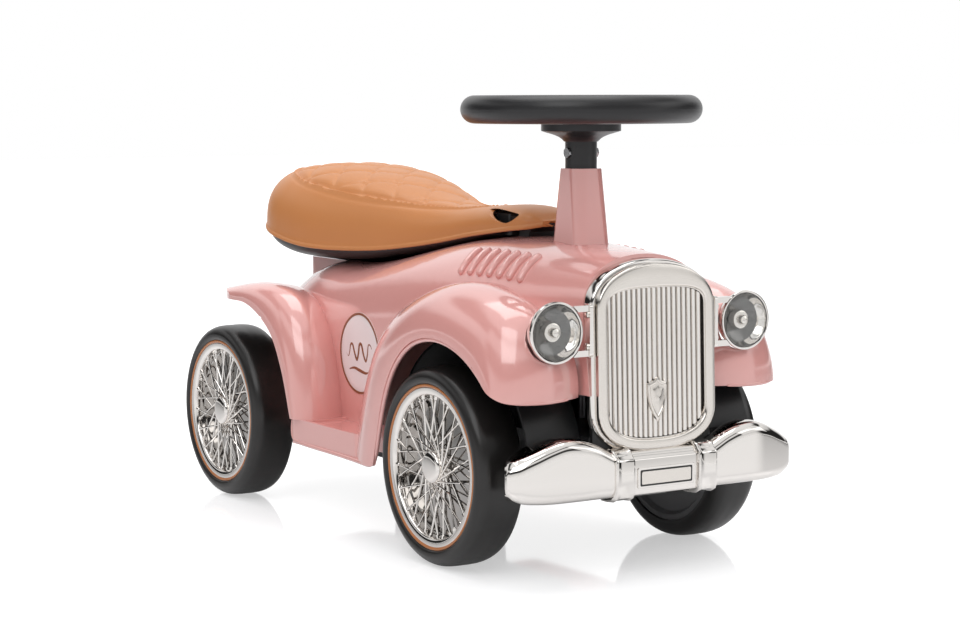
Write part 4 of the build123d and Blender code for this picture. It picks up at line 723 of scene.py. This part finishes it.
def rounded_end(share):
    """Thickness along a rib: full in the middle, round at both ends."""
    edge = min(share, 1 - share) / 0.12
    return math.sqrt(max(1 - (1 - min(edge, 1)) ** 2, 0.002))


# ---------- grille
BARS_WIDTH = 90.0
SHIELD_Z = 146.0
# Relief of the shield, from its foot inwards: share of its size, depth behind the frame's face.
SHIELD = ((1.0, 4.0), (1.0, 1.9), (0.94, 1.2), (0.86, 1.0), (0.80, 1.3), (0.76, 2.0),
          (0.70, 2.1), (0.52, 1.3), (0.25, 0.55), (0.02, 0.4))


def grille_rib(index, count):
    """One upright half round bar, cut to the opening of the grille."""
    pitch = BARS_WIDTH / (count - 1)
    middle = (index - (count - 1) / 2) * pitch
    half = pitch * (0.47 if index == (count - 1) // 2 else 0.43)
    window = window_half(0.3)
    rows = []
    for k in range(9):
        turn = math.pi * k / 8
        x = middle - half * math.cos(turn)
        foot, crown = height_at(window, min(abs(x), 47.9))
        rows.append([(x, leaning(z, 6.9 - 3.3 * math.sin(turn)), z)
                     for z in (foot, foot + 1.2, (foot + crown) / 2, crown - 1.2, crown)])
    return capped("bar", rows, close_rows=False, close_ends=True)


class ROADSTER_OT_grille(bpy.types.Operator):
    """Builds the chrome shell, the satin frame before it, the half round bars with a black sheet
    behind them as painted shade in their gaps, and the shield
    """
    bl_idname = "roadster.grille"
    bl_label = "Grille"

    def execute(self, context):
        rim = ((0.2, 7.6), (0.0, 6.6), (0.0, 2.2), (0.35, 1.1), (1.1, 0.35), (2.2, 0.0))
        reveal = ((-2.6, 0.0), (-1.6, 0.3), (-0.9, 1.0), (-0.6, 2.2), (0.0, 2.6), (0.0, 7.6))
        loops = [grille_loop(frame_half(margin), depth) for margin, depth in rim]
        loops += [grille_loop(window_half(margin), depth) for margin, depth in reveal]
        face = tidy(skin("grille_frame", loops, close_ends=True))
        dress(face, "satin_chrome", "body", ["grille_surround"], 40)

        lip = ((1.2, 8.8), (1.2, 7.2), (0.6, 6.6), (-0.4, 6.4), (-1.5, 6.9), (-2.4, 8.4),
               (-2.85, 10.6), (-2.9, 14.0))
        loops = [grille_loop(frame_half(margin), depth) for margin, depth in lip]
        for margin in (-2.9, 0.05):
            loops.append([(x, NOSE_EDGE_Y + max(z - NOSE_CUT_Z, 0) * NOSE_LEAN, z)
                          for x, _, z in grille_loop(frame_half(margin), 0.0)])
        loops.append(grille_loop(frame_half(0.05), 11.0))
        shell = tidy(skin("grille_shell", loops, close_ends=True))
        dress(shell, "chrome", "body", ["grille_surround"], 40)

        count = sizes().grille_bars
        ribs = tidy(join([grille_rib(index, count) for index in range(count)], "grille_ribs"))
        dress(ribs, "chrome", "body", ["grille_bars"], 50)
        # Painted shade: a black sheet just behind the bars darkens the gaps between them.
        loops = [grille_loop(window_half(-2.0), depth) for depth in (6.9, 8.6)]
        gap_shade_sheet = capped("grille_backing", loops)
        dress(gap_shade_sheet, "groove", "body", ["grille_bars"])

        half = smooth_pairs([(0, 126.0), (2.6, 129.8), (5.8, 135.6), (8.0, 142.0), (9.2, 149.0),
                             (9.5, 155.6), (8.6, 157.6), (5.0, 158.8), (2.0, 160.4), (0, 162.2)], 4)
        outline = half + [(-x, z) for x, z in half[-2:0:-1]]
        rows = [[(x * share, leaning(z, depth), SHIELD_Z + (z - SHIELD_Z) * share)
                 for x, z in outline] for share, depth in SHIELD]
        shield = capped("grille_shield", rows)
        dress(shield, "satin_chrome", "body", ["grille_ornament"], 40)
        return {"FINISHED"}


# ---------- bumper
# Wing of the bumper: x, back edge y, front y, bottom z, top z.
WING = [
    (46.0, -290.0, -309.5, 68.5, 104.0), (55.0, -290.0, -309.5, 68.5, 108.5),
    (65.0, -289.0, -309.5, 68.5, 113.6), (78.0, -284.0, -309.5, 68.5, 117.8),
    (95.0, -279.0, -309.0, 68.5, 119.5), (108.0, -277.0, -307.6, 68.5, 116.5),
    (120.0, -275.8, -304.8, 68.9, 111.5), (130.0, -276.2, -301.3, 70.0, 106.9),
    (137.0, -281.6, -297.8, 72.9, 102.7), (141.0, -286.6, -294.9, 77.2, 98.3),
    (142.8, -289.4, -292.6, 82.2, 94.4),
]
# Section of the centre bar as (y, z), and the clamps round it: x, growth of that section.
BAR = [(-289.6, 104.4), (-301.6, 104.4), (-303.6, 103.6), (-305.0, 101.6), (-306.4, 99.6),
       (-307.8, 98.8), (-308.5, 97.4), (-308.5, 72.6), (-307.4, 69.8), (-304.0, 68.0),
       (-296.0, 67.2), (-289.6, 67.2)]
CLAMP = ((31.6, -1.0), (31.8, 1.2), (32.6, 2.7), (33.8, 3.1), (35.0, 2.5), (37.0, 2.1),
         (45.5, 2.1), (47.6, 2.5), (49.0, 3.1), (50.4, 2.7), (51.2, 1.2), (51.4, -1.0))
ROUNDNESS = 0.87
PLATE_BACK_Y = -308.4
PLATE_CORNER = 1.2


def wing_ring(x, back, front, bottom, top):
    """Closed section of a wing: flat back, rounded brow, upright face and rounded heel."""
    crest, reach = min(12.0, (top - bottom) * 0.36), min(13.0, (back - front) * 0.62)
    heel = min(9.0, (top - bottom) * 0.3, (back - front) * 0.45)
    ring = [(back, top - (1.5 if back - front > 12 else 0)),
            (front + reach + (back - front - reach) / 2, top)]
    ring += quarter((front + reach, top - crest), (-reach, crest), ROUNDNESS, 10)
    ring += quarter((front + heel, bottom + heel), (-heel, -heel), ROUNDNESS, 8)[::-1]
    ring.append((back, bottom))
    return [(x, y, z) for y, z in ring]


def grown(outline, amount):
    """An open outline moved outwards by an amount."""
    moved = []
    for index, (y, z) in enumerate(outline):
        (ya, za), (yb, zb) = outline[max(index - 1, 0)], outline[min(index + 1, len(outline) - 1)]
        run = math.hypot(yb - ya, zb - za)
        moved.append((y - amount * (za - zb) / run, z + amount * (ya - yb) / run))
    return moved


def plate(name, half, low, high, front):
    """Flat plate with rounded corners and a fine bevel round its face."""
    loop = []
    for cx, cz, turn in ((half, low, -90), (half, high, 0), (-half, high, 90), (-half, low, 180)):
        for k in range(5):
            angle = math.radians(turn + 90 * k / 4)
            x = cx - math.copysign(PLATE_CORNER, cx) + PLATE_CORNER * math.cos(angle)
            inset = PLATE_CORNER if cz == low else -PLATE_CORNER
            loop.append((x, cz + inset + PLATE_CORNER * math.sin(angle)))
    rows = [[(x, y, z) for x, z in loop] for y in (PLATE_BACK_Y, front + 0.2)]
    rows.append([(x * (1 - 0.25 / half), front, z + (0.2 if z < (low + high) / 2 else -0.2))
                 for x, z in loop])
    return capped(name, rows)


class ROADSTER_OT_bumper(bpy.types.Operator):
    """Builds the bumper: centre bar, two clamps, swelling wings and the bare framed plate"""
    bl_idname = "roadster.bumper"
    bl_label = "Bumper"

    def execute(self, context):
        parts = []
        for side in (1, -1):
            rows = []
            for index in range(58):
                x = WING[0][0] + 96.8 * math.sin(math.pi / 2 * index / 57)
                rows.append([(side * px, py, pz) for px, py, pz in wing_ring(x, *table(WING, x))])
            parts.append(capped("wing", rows))
            rows = [[(side * x, y, z) for y, z in grown(BAR, amount)] for x, amount in CLAMP]
            parts.append(capped("clamp", rows))
        rows = [[(x, y, z) for y, z in BAR] for x in (-33, -30.6, -30.2, 30.2, 30.6, 33)]
        parts.append(capped("bar", rows))
        bumper = tidy(join(parts, "bumper_chrome"))
        dress(bumper, "chrome", "body", ["bumper"], 38)

        for name, half, low, high, front, key in (
                ("plate_rim", 28.2, 74.6, 91.6, -309.6, "chrome"),
                ("plate_border", 26.2, 76.4, 89.8, -309.8, "groove"),
                ("plate_face", 24.8, 77.8, 88.4, -309.95, "satin_chrome")):
            dress(plate(name, half, low, high, front), key, "body",
                  ["bumper_plate"], 30)
        return {"FINISHED"}


# ---------- rolled edges
BEAD_RADIUS = 2.0
BEAD_LIMIT_X = 141.3
# Bead, the solid that it lies on, and its line.
BEADS = (
    ("front_lip", "front_fender_left", (
        (141, -71, 71.2), (141.4, -76, 73.2), (141.8, -81, 79), (142, -84.5, 92), (142, -92, 119),
        (142, -100, 141), (142, -110, 158), (142, -125, 174), (142, -144, 185), (142, -165, 190),
        (142, -186, 191.5), (142, -208, 188), (142, -226, 182), (142, -239, 174),
        (142, -252, 164), (141, -262, 155.8), (139, -270, 151.6), (136, -276, 149.6),
        (127, -285, 148.4), (112, -292, 148.2), (95, -292, 148.2), (81, -286, 148.2))),
    ("board_edge", "front_fender_left", (
        (137.4, 87.2, 92), (137.4, 87.2, 76), (137.6, 84, 72.5), (138, 60, 72), (138, 20, 72),
        (138, -20, 71.2), (138.4, -44, 71), (140, -60, 71), (141, -71, 71.2))),
    ("rear_lip", "rear_fender_left", (
        (97, 228, 203), (105, 234, 203), (114, 236.5, 202.5), (123, 234, 202), (132, 226, 201.5),
        (138.5, 214, 201), (142, 198, 199.5), (142.4, 178, 197.6), (142.4, 159, 195),
        (142.4, 140, 188), (142.4, 122, 177), (142.4, 109, 168), (142.4, 99, 154),
        (142.4, 89, 136), (142.4, 82, 119), (142.4, 78, 106), (141, 76.4, 99), (136, 76, 97),
        (120, 76, 96.8), (104, 76, 96.8), (96, 76, 96.8))),
)


def relaxed(line, passes):
    """The same line with its small steps evened out."""
    for _ in range(passes):
        inner = [(a + b * 2 + c) / 4 for a, b, c in zip(line, line[1:], line[2:])]
        line = [line[0], *inner, line[-1]]
    return line


def bead_end(share):
    """Thickness along a bead: its round ends are a little cut off."""
    return rounded_end(0.5 + (share - 0.5) * 0.97)


class ROADSTER_OT_rolled_edges(bpy.types.Operator):
    """Rolls the lips of the fenders and the lower edge of the running boards"""
    bl_idname = "roadster.rolled_edges"
    bl_label = "Rolled edges"

    def execute(self, context):
        for name, node, points in BEADS:
            tree = carrier(node)
            points = [(min(x, BEAD_LIMIT_X), y, z) for x, y, z in points]
            line = [tree.find_nearest(p * MM)[0] / MM for p in smooth_line(points, 5)]
            bead = rod(name + "_left", relaxed(line, 30), BEAD_RADIUS, 12, bead_end)
            dress_sides(bead, "paint")
        return {"FINISHED"}


# ---------- headlamps
class ROADSTER_OT_headlamps(bpy.types.Operator):
    """Builds the lamp bodies, reflector dishes in darker chrome as painted shade, clear lenses,
    bulbs and bracket screws
    """
    bl_idname = "roadster.headlamps"
    bl_label = "Headlamps"

    def execute(self, context):
        shell = smooth_pairs([(-21.8, 9.0), (-21.0, 12.2), (-17.0, 17.0), (-11.0, 21.5),
                              (-5.5, 23.6), (-3.4, 24.0)], 4)
        shell += [(-3.2, 24.8), (-2.6, 25.0), (-0.9, 25.0), (-0.2, 24.7), (0.0, 24.2), (0.0, 23.3),
                  (-0.3, 22.9), (-1.0, 22.7), (-2.2, 22.7), (-3.0, 22.2), (-14.0, 16.0),
                  (-20.4, 9.0)]
        dish = smooth_pairs([(-2.6, 22.4), (-5.0, 21.8), (-9.0, 18.8), (-12.0, 13.4),
                             (-13.2, 8.6)], 4)
        dish += [(-14.4, 8.4), (-13.0, 14.0), (-9.6, 20.0), (-5.4, 22.6), (-2.8, 22.9)]
        lens = smooth_pairs([(-1.4, 22.5), (0.2, 22.0), (1.2, 17.0), (2.0, 9.0), (2.3, 0.0)], 3)
        lens += [(0.9, 0.0), (0.6, 9.0), (-0.2, 17.0), (-1.6, 21.6)]
        bulb = [(-14.6, 8.3), (-11.2, 8.3), (-10.4, 8.1), (-7.6, 7.9), (-6.9, 7.5), (-6.6, 6.7),
                (-6.5, 4.1), (-6.1, 3.8), (-3.2, 3.7), (-2.2, 3.3), (-1.5, 2.1), (-1.2, 0.0),
                (-14.6, 0.0)]
        # The reflector's darker chrome is painted shade inside the lamp.
        for name, profile, key, slot, node in (
                ("lamp_body", shell, "chrome", "chrome_plating", "headlamp_shell"),
                ("lamp_dish", dish, "dark_chrome", "chrome_plating", "headlamp_reflector"),
                ("lamp_lens", lens, "lens", "lens_clear", "headlamp_lens"),
                ("lamp_bulb", bulb, "satin_chrome", "bulb_chrome", "headlamp_bulb")):
            piece = turned(name + "_left", profile, 72, looking((0, -1, 0), LAMP), closed=True)
            dress_sides(piece, key, node)
        head = [(0.0, 3.0), (1.3, 3.0), (1.9, 2.5), (2.2, 1.5), (2.3, 0.0)]
        for side, word in ((1, "left"), (-1, "right")):
            screws = [turned("screw", head, 24, looking((side, 0, 0), (side * 64.4, -289.5, z)))
                      for z in (190.0, 216.0)]
            dress(join(screws, "bracket_screws_" + word), "satin_chrome", "body")
        return {"FINISHED"}


# ---------- hood and doors
STEEP = Vector((0.62, 0, 0.78))
ROUNDEL_Y = 29.0
ROUNDEL_Z = 156.0
ROUNDEL_RADIUS = 37.5
# Strokes of the flourish on the roundel: points across and up, and radius of the stroke.
FLOURISH = (
    (((-26, -1), (-22, 8), (-17, 9), (-15, 0), (-12, -6), (-8, -1), (-4, 8), (0, 8), (2, 0),
      (5, -6), (9, -1), (13, 7), (17, 7), (19, 0), (22, -4), (27, 2)), 2.3),
    (((-23, -14.5), (-12, -17), (0, -15.5), (11, -14), (23, -17)), 2.6),
)


class ROADSTER_OT_hood_trim(bpy.types.Operator):
    """Lays the raised louvres on both shoulders of the hood"""
    bl_idname = "roadster.hood_trim"
    bl_label = "Louvres"

    def execute(self, context):
        tree = carrier("body_shell")
        count = sizes().louvres
        ribs = []
        for index in range(count):
            share = index / (count - 1)
            line = []
            for k in range(25):
                t = k / 24
                above = Vector((81.5 - 6.0 * share - 25.0 * t, -124.6 - 80.6 * share + 4.1 * t,
                                237.0 + 21.5 * t))
                line.append(landed(tree, above + STEEP * 60, -STEEP, 0.2))
            ribs.append(rod("rib", line, 3.6, 14, rounded_end))
        dress_sides(join(ribs, "hood_louvres_left"), "paint")
        return {"FINISHED"}


def stroke_width(share):
    """Thickness along a stroke of the flourish, fullest in its middle."""
    return 0.72 + 0.28 * math.sin(math.pi * min(max(share, 0.02), 0.98))


class ROADSTER_OT_door_roundel(bpy.types.Operator):
    """Lays the pale round patch with its brown ring and flourish on both doors"""
    bl_idname = "roadster.door_roundel"
    bl_label = "Door roundel"

    def execute(self, context):
        tree = carrier("body_shell")

        def on_door(across, up, lift):
            return landed(tree, (200.0, ROUNDEL_Y + across, ROUNDEL_Z + up), (-1, 0, 0), lift)

        def circle(radius, lift):
            turns = (2 * math.pi * k / 96 for k in range(96))
            return [on_door(radius * math.cos(a), radius * math.sin(a), lift) for a in turns]

        rows = [circle(ROUNDEL_RADIUS - inset, lift)
                for inset, lift in ((0, -0.3), (0, 0.18), (0.2, 0.3))]
        rows += [circle(radius, 0.3) for radius in (30, 22, 14, 7, 0.5)]
        disc = capped("roundel_left", rows)
        rows = [circle(ROUNDEL_RADIUS - inset, lift)
                for inset, lift in ((2.4, 0.0), (2.4, 0.55), (0.2, 0.55), (0.2, 0.0))]
        ring = tidy(skin("roundel_ring_left", rows, close_ends=True))
        strokes = []
        for points, radius in FLOURISH:
            line = [on_door(u, v, 0.9 - radius) for u, v in smooth_pairs(points, 7)]
            strokes.append(rod("stroke", line, radius, 12, stroke_width))
        dress_sides(disc, "roundel")
        dress_sides(ring, "brown")
        dress_sides(join(strokes, "roundel_flourish_left"), "brown")
        return {"FINISHED"}


# ---------- seat
# The seat from its tip to where its rounded back begins: y, half width, rim, crown.
SEAT_ROWS = [
    (-148.0, 12.0, 277.3, 282.9), (-140.0, 24.0, 275.0, 289.0), (-125.0, 31.0, 273.2, 293.6),
    (-100.0, 33.5, 270.0, 294.6), (-60.0, 34.0, 264.7, 292.0), (-20.0, 38.0, 257.9, 290.5),
    (20.0, 47.0, 251.7, 295.0), (60.0, 61.0, 247.1, 305.5), (100.0, 76.0, 245.4, 315.0),
    (140.0, 87.0, 246.0, 321.0), (170.0, 91.0, 248.6, 324.0), (198.0, 92.0, 253.0, 325.0),
]
TIP_Y, TIP_HALF, TIP_RIM, TIP_CROWN = SEAT_ROWS[0]
BACK_Y, BACK_HALF, BACK_RIM, BACK_CROWN = SEAT_ROWS[-1]
TIP_REACH = 0.8
BACK_REACH = 92.0
SEAT_ROUNDNESS = 2.7
SKIRT = 4.6
# The tufted panel as (y, half width), and the pitch of its diamonds.
PANEL = [(-64.0, 0.0), (-60.0, 7.0), (-44.0, 13.0), (-12.0, 21.0), (28.0, 34.0), (65.0, 49.0),
         (105.0, 63.0), (145.0, 70.5), (180.0, 71.0), (212.0, 64.0), (236.0, 49.0), (251.0, 27.0),
         (256.0, 0.0)]
DIAMOND_START_Y, DIAMOND_Y, DIAMOND_X = 5.0, 50.0, 44.0
NECK_LINING = (-124.0, -84.0)


def seat_row(y):
    """Half width, rim height and crown height of the seat at y."""
    if y < TIP_Y:
        round_off = math.sqrt(max(1 - ((TIP_Y - y) / TIP_REACH) ** 2, 0))
        return TIP_HALF * (0.45 + 0.55 * round_off), TIP_RIM, TIP_CROWN - 1.0 + round_off
    if y <= BACK_Y:
        return table(SEAT_ROWS, y)
    reach = min((y - BACK_Y) / BACK_REACH, 1.0)
    fullness = max(1 - reach ** SEAT_ROUNDNESS, 0) ** (1 / SEAT_ROUNDNESS)
    return (BACK_HALF * math.sqrt(max(1 - reach * reach, 0)), BACK_RIM + 17.0 * reach,
            BACK_RIM + 17.0 + (BACK_CROWN - BACK_RIM - 17.0) * fullness)


def panel_edge(y):
    """Half width of the tufted panel at y."""
    if not PANEL[0][0] < y < PANEL[-1][0]:
        return 0.0
    return max(table(PANEL, y)[0], 0.0)


def ridge(distance, width, power=2):
    """Height of a rounded ridge, one at its middle."""
    return math.exp(-(distance / width) ** power)


def tufting(x, y):
    """Relief of the seat: sunk teardrop panel, its welt, diamond seams and buttons."""
    edge = panel_edge(y)
    if edge <= 0:
        return 0.0
    slope = (panel_edge(y + 2) - panel_edge(y - 2)) / 4
    inside = (edge - abs(x)) / math.sqrt(1 + slope * slope)
    if inside < -6:
        return 0.0
    welt = 1.3 * ridge(inside, 1.9) - 1.5 * ridge(inside - 3.2, 1.6)
    if inside <= 0:
        return welt - 0.9 * ridge(inside + 3.2, 1.5)
    along, across = (y - DIAMOND_START_Y) / DIAMOND_Y, x / DIAMOND_X
    du, dv = (abs(value - round(value)) for value in (along + across, along - across))
    near, button = min(du, dv) * 28.0, math.hypot(du, dv) * 30.0
    seam = -0.7 * ridge(near, 1.1)
    puff = 1.1 * (1 - math.exp(-near / 4.0))
    pit = -1.6 * ridge(button, 5.0) + 2.3 * ridge(button, 2.3, 4)
    return welt - 1.1 + min(max((inside - 3.0) / 6.0, 0.0), 1.0) * (seam + puff + pit)


def seat_section(y):
    """Open section of the seat's skin at y, from rolled rim to rolled rim."""
    half, rim, crown = seat_row(y)
    low = [(-half + 2.2, rim + 1.0), (-half + 0.2, rim + 0.1), (-half - 1.3, rim + 0.6),
           (-half - 1.7, rim + 2.0), (-half - 1.2, rim + 3.4), (-half - 0.1, rim + 4.3)]
    over = []
    for k in range(121):
        turn = math.pi * k / 120
        c, s = math.cos(turn), math.sin(turn)
        x = -half * math.copysign(abs(c) ** (2 / SEAT_ROUNDNESS), c)
        z = rim + SKIRT + (crown - rim - SKIRT) * max(s, 0) ** (2 / SEAT_ROUNDNESS)
        over.append((x, z + (tufting(x, y) if abs(x) < half * 0.93 else 0.0)))
    return [(x, y, z) for x, z in low + over + [(-x, z) for x, z in low[::-1]]]


class ROADSTER_OT_seat(bpy.types.Operator):
    """Builds the seat skin with its rolled rim, neck opening, tufted panel and buttons"""
    bl_idname = "roadster.seat"
    bl_label = "Seat"

    def execute(self, context):
        lengths = [TIP_Y - TIP_REACH * math.cos(math.pi / 2 * k / 10) for k in range(10)]
        lengths += [TIP_Y + 345.5 * k / 190 for k in range(190)]
        lengths += [BACK_Y + BACK_REACH * math.sin(math.pi / 2 * k / 70) for k in range(70)]
        seat = tidy(skin("seat_skin", [seat_section(y) for y in lengths], close_rows=False))
        modify(seat, "SOLIDIFY", thickness=2.4 * MM, offset=-1.0)
        opening = smooth_pairs([
            (-81, 290.4), (-84, 289.0), (-93, 285.4), (-104, 281.6), (-114, 279.8), (-121, 280.2),
            (-127, 282.6), (-130.6, 286.0), (-130.0, 287.9), (-123, 289.2), (-108, 290.6),
            (-92, 291.2)], 4, closed=True)
        prism = capped("neck_cutter", [[(x, y, z) for y, z in opening] for x in (-60, 60)])
        modify(seat, "BOOLEAN", operation="DIFFERENCE", solver="EXACT", object=prism)
        bpy.data.objects.remove(prism)
        section = [(-20, 282), (20, 282), (20, 284.5), (17.5, 288), (11, 290.3), (-11, 290.3),
                   (-17.5, 288), (-20, 284.5)]
        lining = capped("neck_lining", [[(x, y, z) for x, z in section] for y in NECK_LINING])
        dress(lining, "black", "seat")
        dress(seat, "seat", "seat", ["seat_shell"], 50)
        return {"FINISHED"}


# ---------- stage
WHITE = (1, 1, 1, 1)
PHOTO_AHEAD = (0.532, 0.847, 0)
# Brightness of the world in mirrors as (height of the direction, level): from 0 straight down
# to 1 straight up, all round and on the side that the camera stands on.
ROUND_BANDS = ((0.0, 1.0), (0.50, 1.0), (0.515, 0.02), (0.64, 0.02), (0.70, 0.75), (0.76, 0.95),
               (0.80, 0.05), (0.85, 0.04), (0.90, 0.95), (1.0, 1.0))
FRONT_BANDS = ((0.0, 1.0), (0.50, 0.95), (0.60, 0.80), (0.65, 0.05), (0.72, 0.05), (0.77, 0.9),
               (0.82, 0.9), (0.86, 0.05), (0.90, 0.9), (1.0, 1.0))
# Soft boxes: name, place in metres, power in watts, size in metres.
SOFTBOXES = (("key_softbox", (-1.5, -1.2, 1.9), 13, 1.5),
             ("fill_softbox", (1.6, -1.4, 1.3), 5, 1.4),
             ("top_softbox", (0.1, 0.3, 2.2), 15, 1.6))
# The camera of the photograph: focal length in mm, place in metres, turn, tip and roll.
CAMERA_LENS = 82.33
CAMERA_PLACE = (-1.0621, -1.7162, 0.3859)
CAMERA_ANGLES = (-32.15, 5.73, -0.16)


def light_bands(tree, height, stops):
    """Colour ramp over the height of a direction, from straight down to straight up."""
    share = wired(tree, "MapRange", {"Value": height, "From Min": -1})
    ramp = wired(tree, "ValToRGB", {"Fac": share.outputs["Result"]})
    ramp.color_ramp.interpolation = "EASE"
    elements = ramp.color_ramp.elements
    elements[0].position, elements[1].position = stops[0][0], stops[-1][0]
    for position, _ in stops[1:-1]:
        elements.new(position)
    for element, (position, level) in zip(elements, stops):
        element.position = position
        element.color = (level, level, level, 1)
    return ramp.outputs["Color"]


def eased(tree, value, start, end, low=0.0, high=1.0):
    """A value that eases from low to high between a start and an end."""
    inputs = {"Value": value, "From Min": start, "From Max": end, "To Min": low, "To Max": high}
    return wired(tree, "MapRange", inputs, interpolation_type="SMOOTHSTEP").outputs["Result"]


def pale_floor():
    """Material of the floor: faintly glossy, brightened for the camera and for mirrors."""
    material, tree, shader = new_material("pale_floor")
    feed(tree, shader, {"Base Color": (0.80, 0.80, 0.81, 1), "Roughness": 0.06})
    paths = wired(tree, "LightPath").outputs
    glossy = maths(tree, "MULTIPLY", paths["Is Glossy Ray"], 0.12)
    share = maths(tree, "MULTIPLY_ADD", paths["Is Camera Ray"], 0.50, glossy)
    glow = wired(tree, "Emission", {"Color": WHITE, "Strength": share})
    lit = wired(tree, "AddShader", {0: shader.outputs[0], 1: glow.outputs[0]})
    feed(tree, tree.nodes["Material Output"], {"Surface": lit.outputs[0]})
    return material


def studio_world():
    """World: white for the camera, light bands for mirrors, soft light from above for the rest."""
    world = bpy.data.worlds.new("studio_world")
    world.use_nodes = True
    tree = world.node_tree
    tree.nodes.clear()
    place = wired(tree, "TexCoord").outputs["Generated"]
    height = wired(tree, "SeparateXYZ", {0: place}).outputs["Z"]
    level = vector_maths(tree, "MULTIPLY", place, (1, 1, 0))
    ahead = vector_maths(tree, "DOT_PRODUCT", vector_maths(tree, "NORMALIZE", level), PHOTO_AHEAD)
    bands = mix(tree, eased(tree, ahead, -0.05, -0.25), light_bands(tree, height, ROUND_BANDS),
                light_bands(tree, height, FRONT_BANDS))
    sky = mix(tree, eased(tree, ahead, 0.72, 0.90), bands, WHITE)
    mirrored_sky = wired(tree, "Background", {"Color": sky, "Strength": 1.0})
    soft = wired(tree, "Background", {
        "Color": WHITE, "Strength": eased(tree, height, 0.0, 0.8, 0.24, 1.05)})
    white = wired(tree, "Background", {"Color": WHITE})
    paths = wired(tree, "LightPath").outputs
    lighting = wired(tree, "MixShader", {
        0: paths["Is Glossy Ray"], 1: soft.outputs[0], 2: mirrored_sky.outputs[0]})
    seen = maths(tree, "MAXIMUM", paths["Is Camera Ray"], paths["Is Transmission Ray"])
    shown = wired(tree, "MixShader", {0: seen, 1: lighting.outputs[0], 2: white.outputs[0]})
    feed(tree, wired(tree, "OutputWorld"), {"Surface": shown.outputs[0]})
    return world


class ROADSTER_OT_stage(bpy.types.Operator):
    """Pale floor, soft studio light and the camera"""
    bl_idname = "roadster.stage"
    bl_label = "Stage"

    def execute(self, context):
        scene = context.scene
        scene.view_settings.view_transform = "Standard"
        deselect()
        bpy.ops.mesh.primitive_plane_add(size=24, location=(0, 0, -0.0002))
        floor = context.object
        floor.name = "studio_floor"
        floor.data.materials.append(pale_floor())
        scene.world = studio_world()

        for name, place, power, size in SOFTBOXES:
            lamp = bpy.data.lights.new(name, "AREA")
            lamp.energy, lamp.size = power, size
            holder = placed(name, lamp)
            holder.location = place
            aim = Vector((0, 0, 0.15)) - holder.location
            holder.rotation_euler = aim.to_track_quat("-Z", "Y").to_euler()

        lens = bpy.data.cameras.new("photo_camera")
        lens.sensor_fit, lens.sensor_width, lens.lens = "HORIZONTAL", 36.0, CAMERA_LENS
        scene.camera = placed("photo_camera", lens)
        turn, tip, roll = (math.radians(angle) for angle in CAMERA_ANGLES)
        back = Vector((math.sin(turn) * math.cos(tip), -math.cos(turn) * math.cos(tip),
                       math.sin(tip)))
        level = Vector((math.cos(turn), math.sin(turn), 0))
        up = back.cross(level)
        right = level * math.cos(roll) + up * math.sin(roll)
        up = up * math.cos(roll) - level * math.sin(roll)
        pose = Matrix((right, up, back)).transposed().to_4x4()
        pose.translation = Vector(CAMERA_PLACE)
        scene.camera.matrix_world = pose
        return {"FINISHED"}


# ---------- sidebar
class ROADSTER_PT_panel(bpy.types.Panel):
    """Lists the steps that build the roadster"""
    bl_label = "Ride-on roadster"
    bl_idname = "ROADSTER_PT_panel"
    bl_space_type = "VIEW_3D"
    bl_region_type = "UI"
    bl_category = "Roadster"

    def draw(self, context):
        layout = self.layout
        for group in (context.scene.roadster_colours, context.scene.roadster_sizes):
            for key in group.__annotations__:
                layout.prop(group, key)
        for operator in STEPS:
            layout.operator(operator.bl_idname)


STEPS = (
    ROADSTER_OT_finishes,
    ROADSTER_OT_tyres,
    ROADSTER_OT_wheel_covers,
    ROADSTER_OT_grille,
    ROADSTER_OT_bumper,
    ROADSTER_OT_rolled_edges,
    ROADSTER_OT_headlamps,
    ROADSTER_OT_hood_trim,
    ROADSTER_OT_door_roundel,
    ROADSTER_OT_seat,
    ROADSTER_OT_stage,
)
CLASSES = (RoadsterColours, RoadsterSizes, *STEPS, ROADSTER_PT_panel)


def register():
    for item in CLASSES:
        bpy.utils.register_class(item)
    bpy.types.Scene.roadster_colours = PointerProperty(type=RoadsterColours)
    bpy.types.Scene.roadster_sizes = PointerProperty(type=RoadsterSizes)


def unregister():
    del bpy.types.Scene.roadster_colours
    del bpy.types.Scene.roadster_sizes
    for item in reversed(CLASSES):
        bpy.utils.unregister_class(item)


def main():
    register()
    for step in STEPS:
        group, action = step.bl_idname.split(".")
        getattr(getattr(bpy.ops, group), action)()


if __name__ == "__main__":
    main()
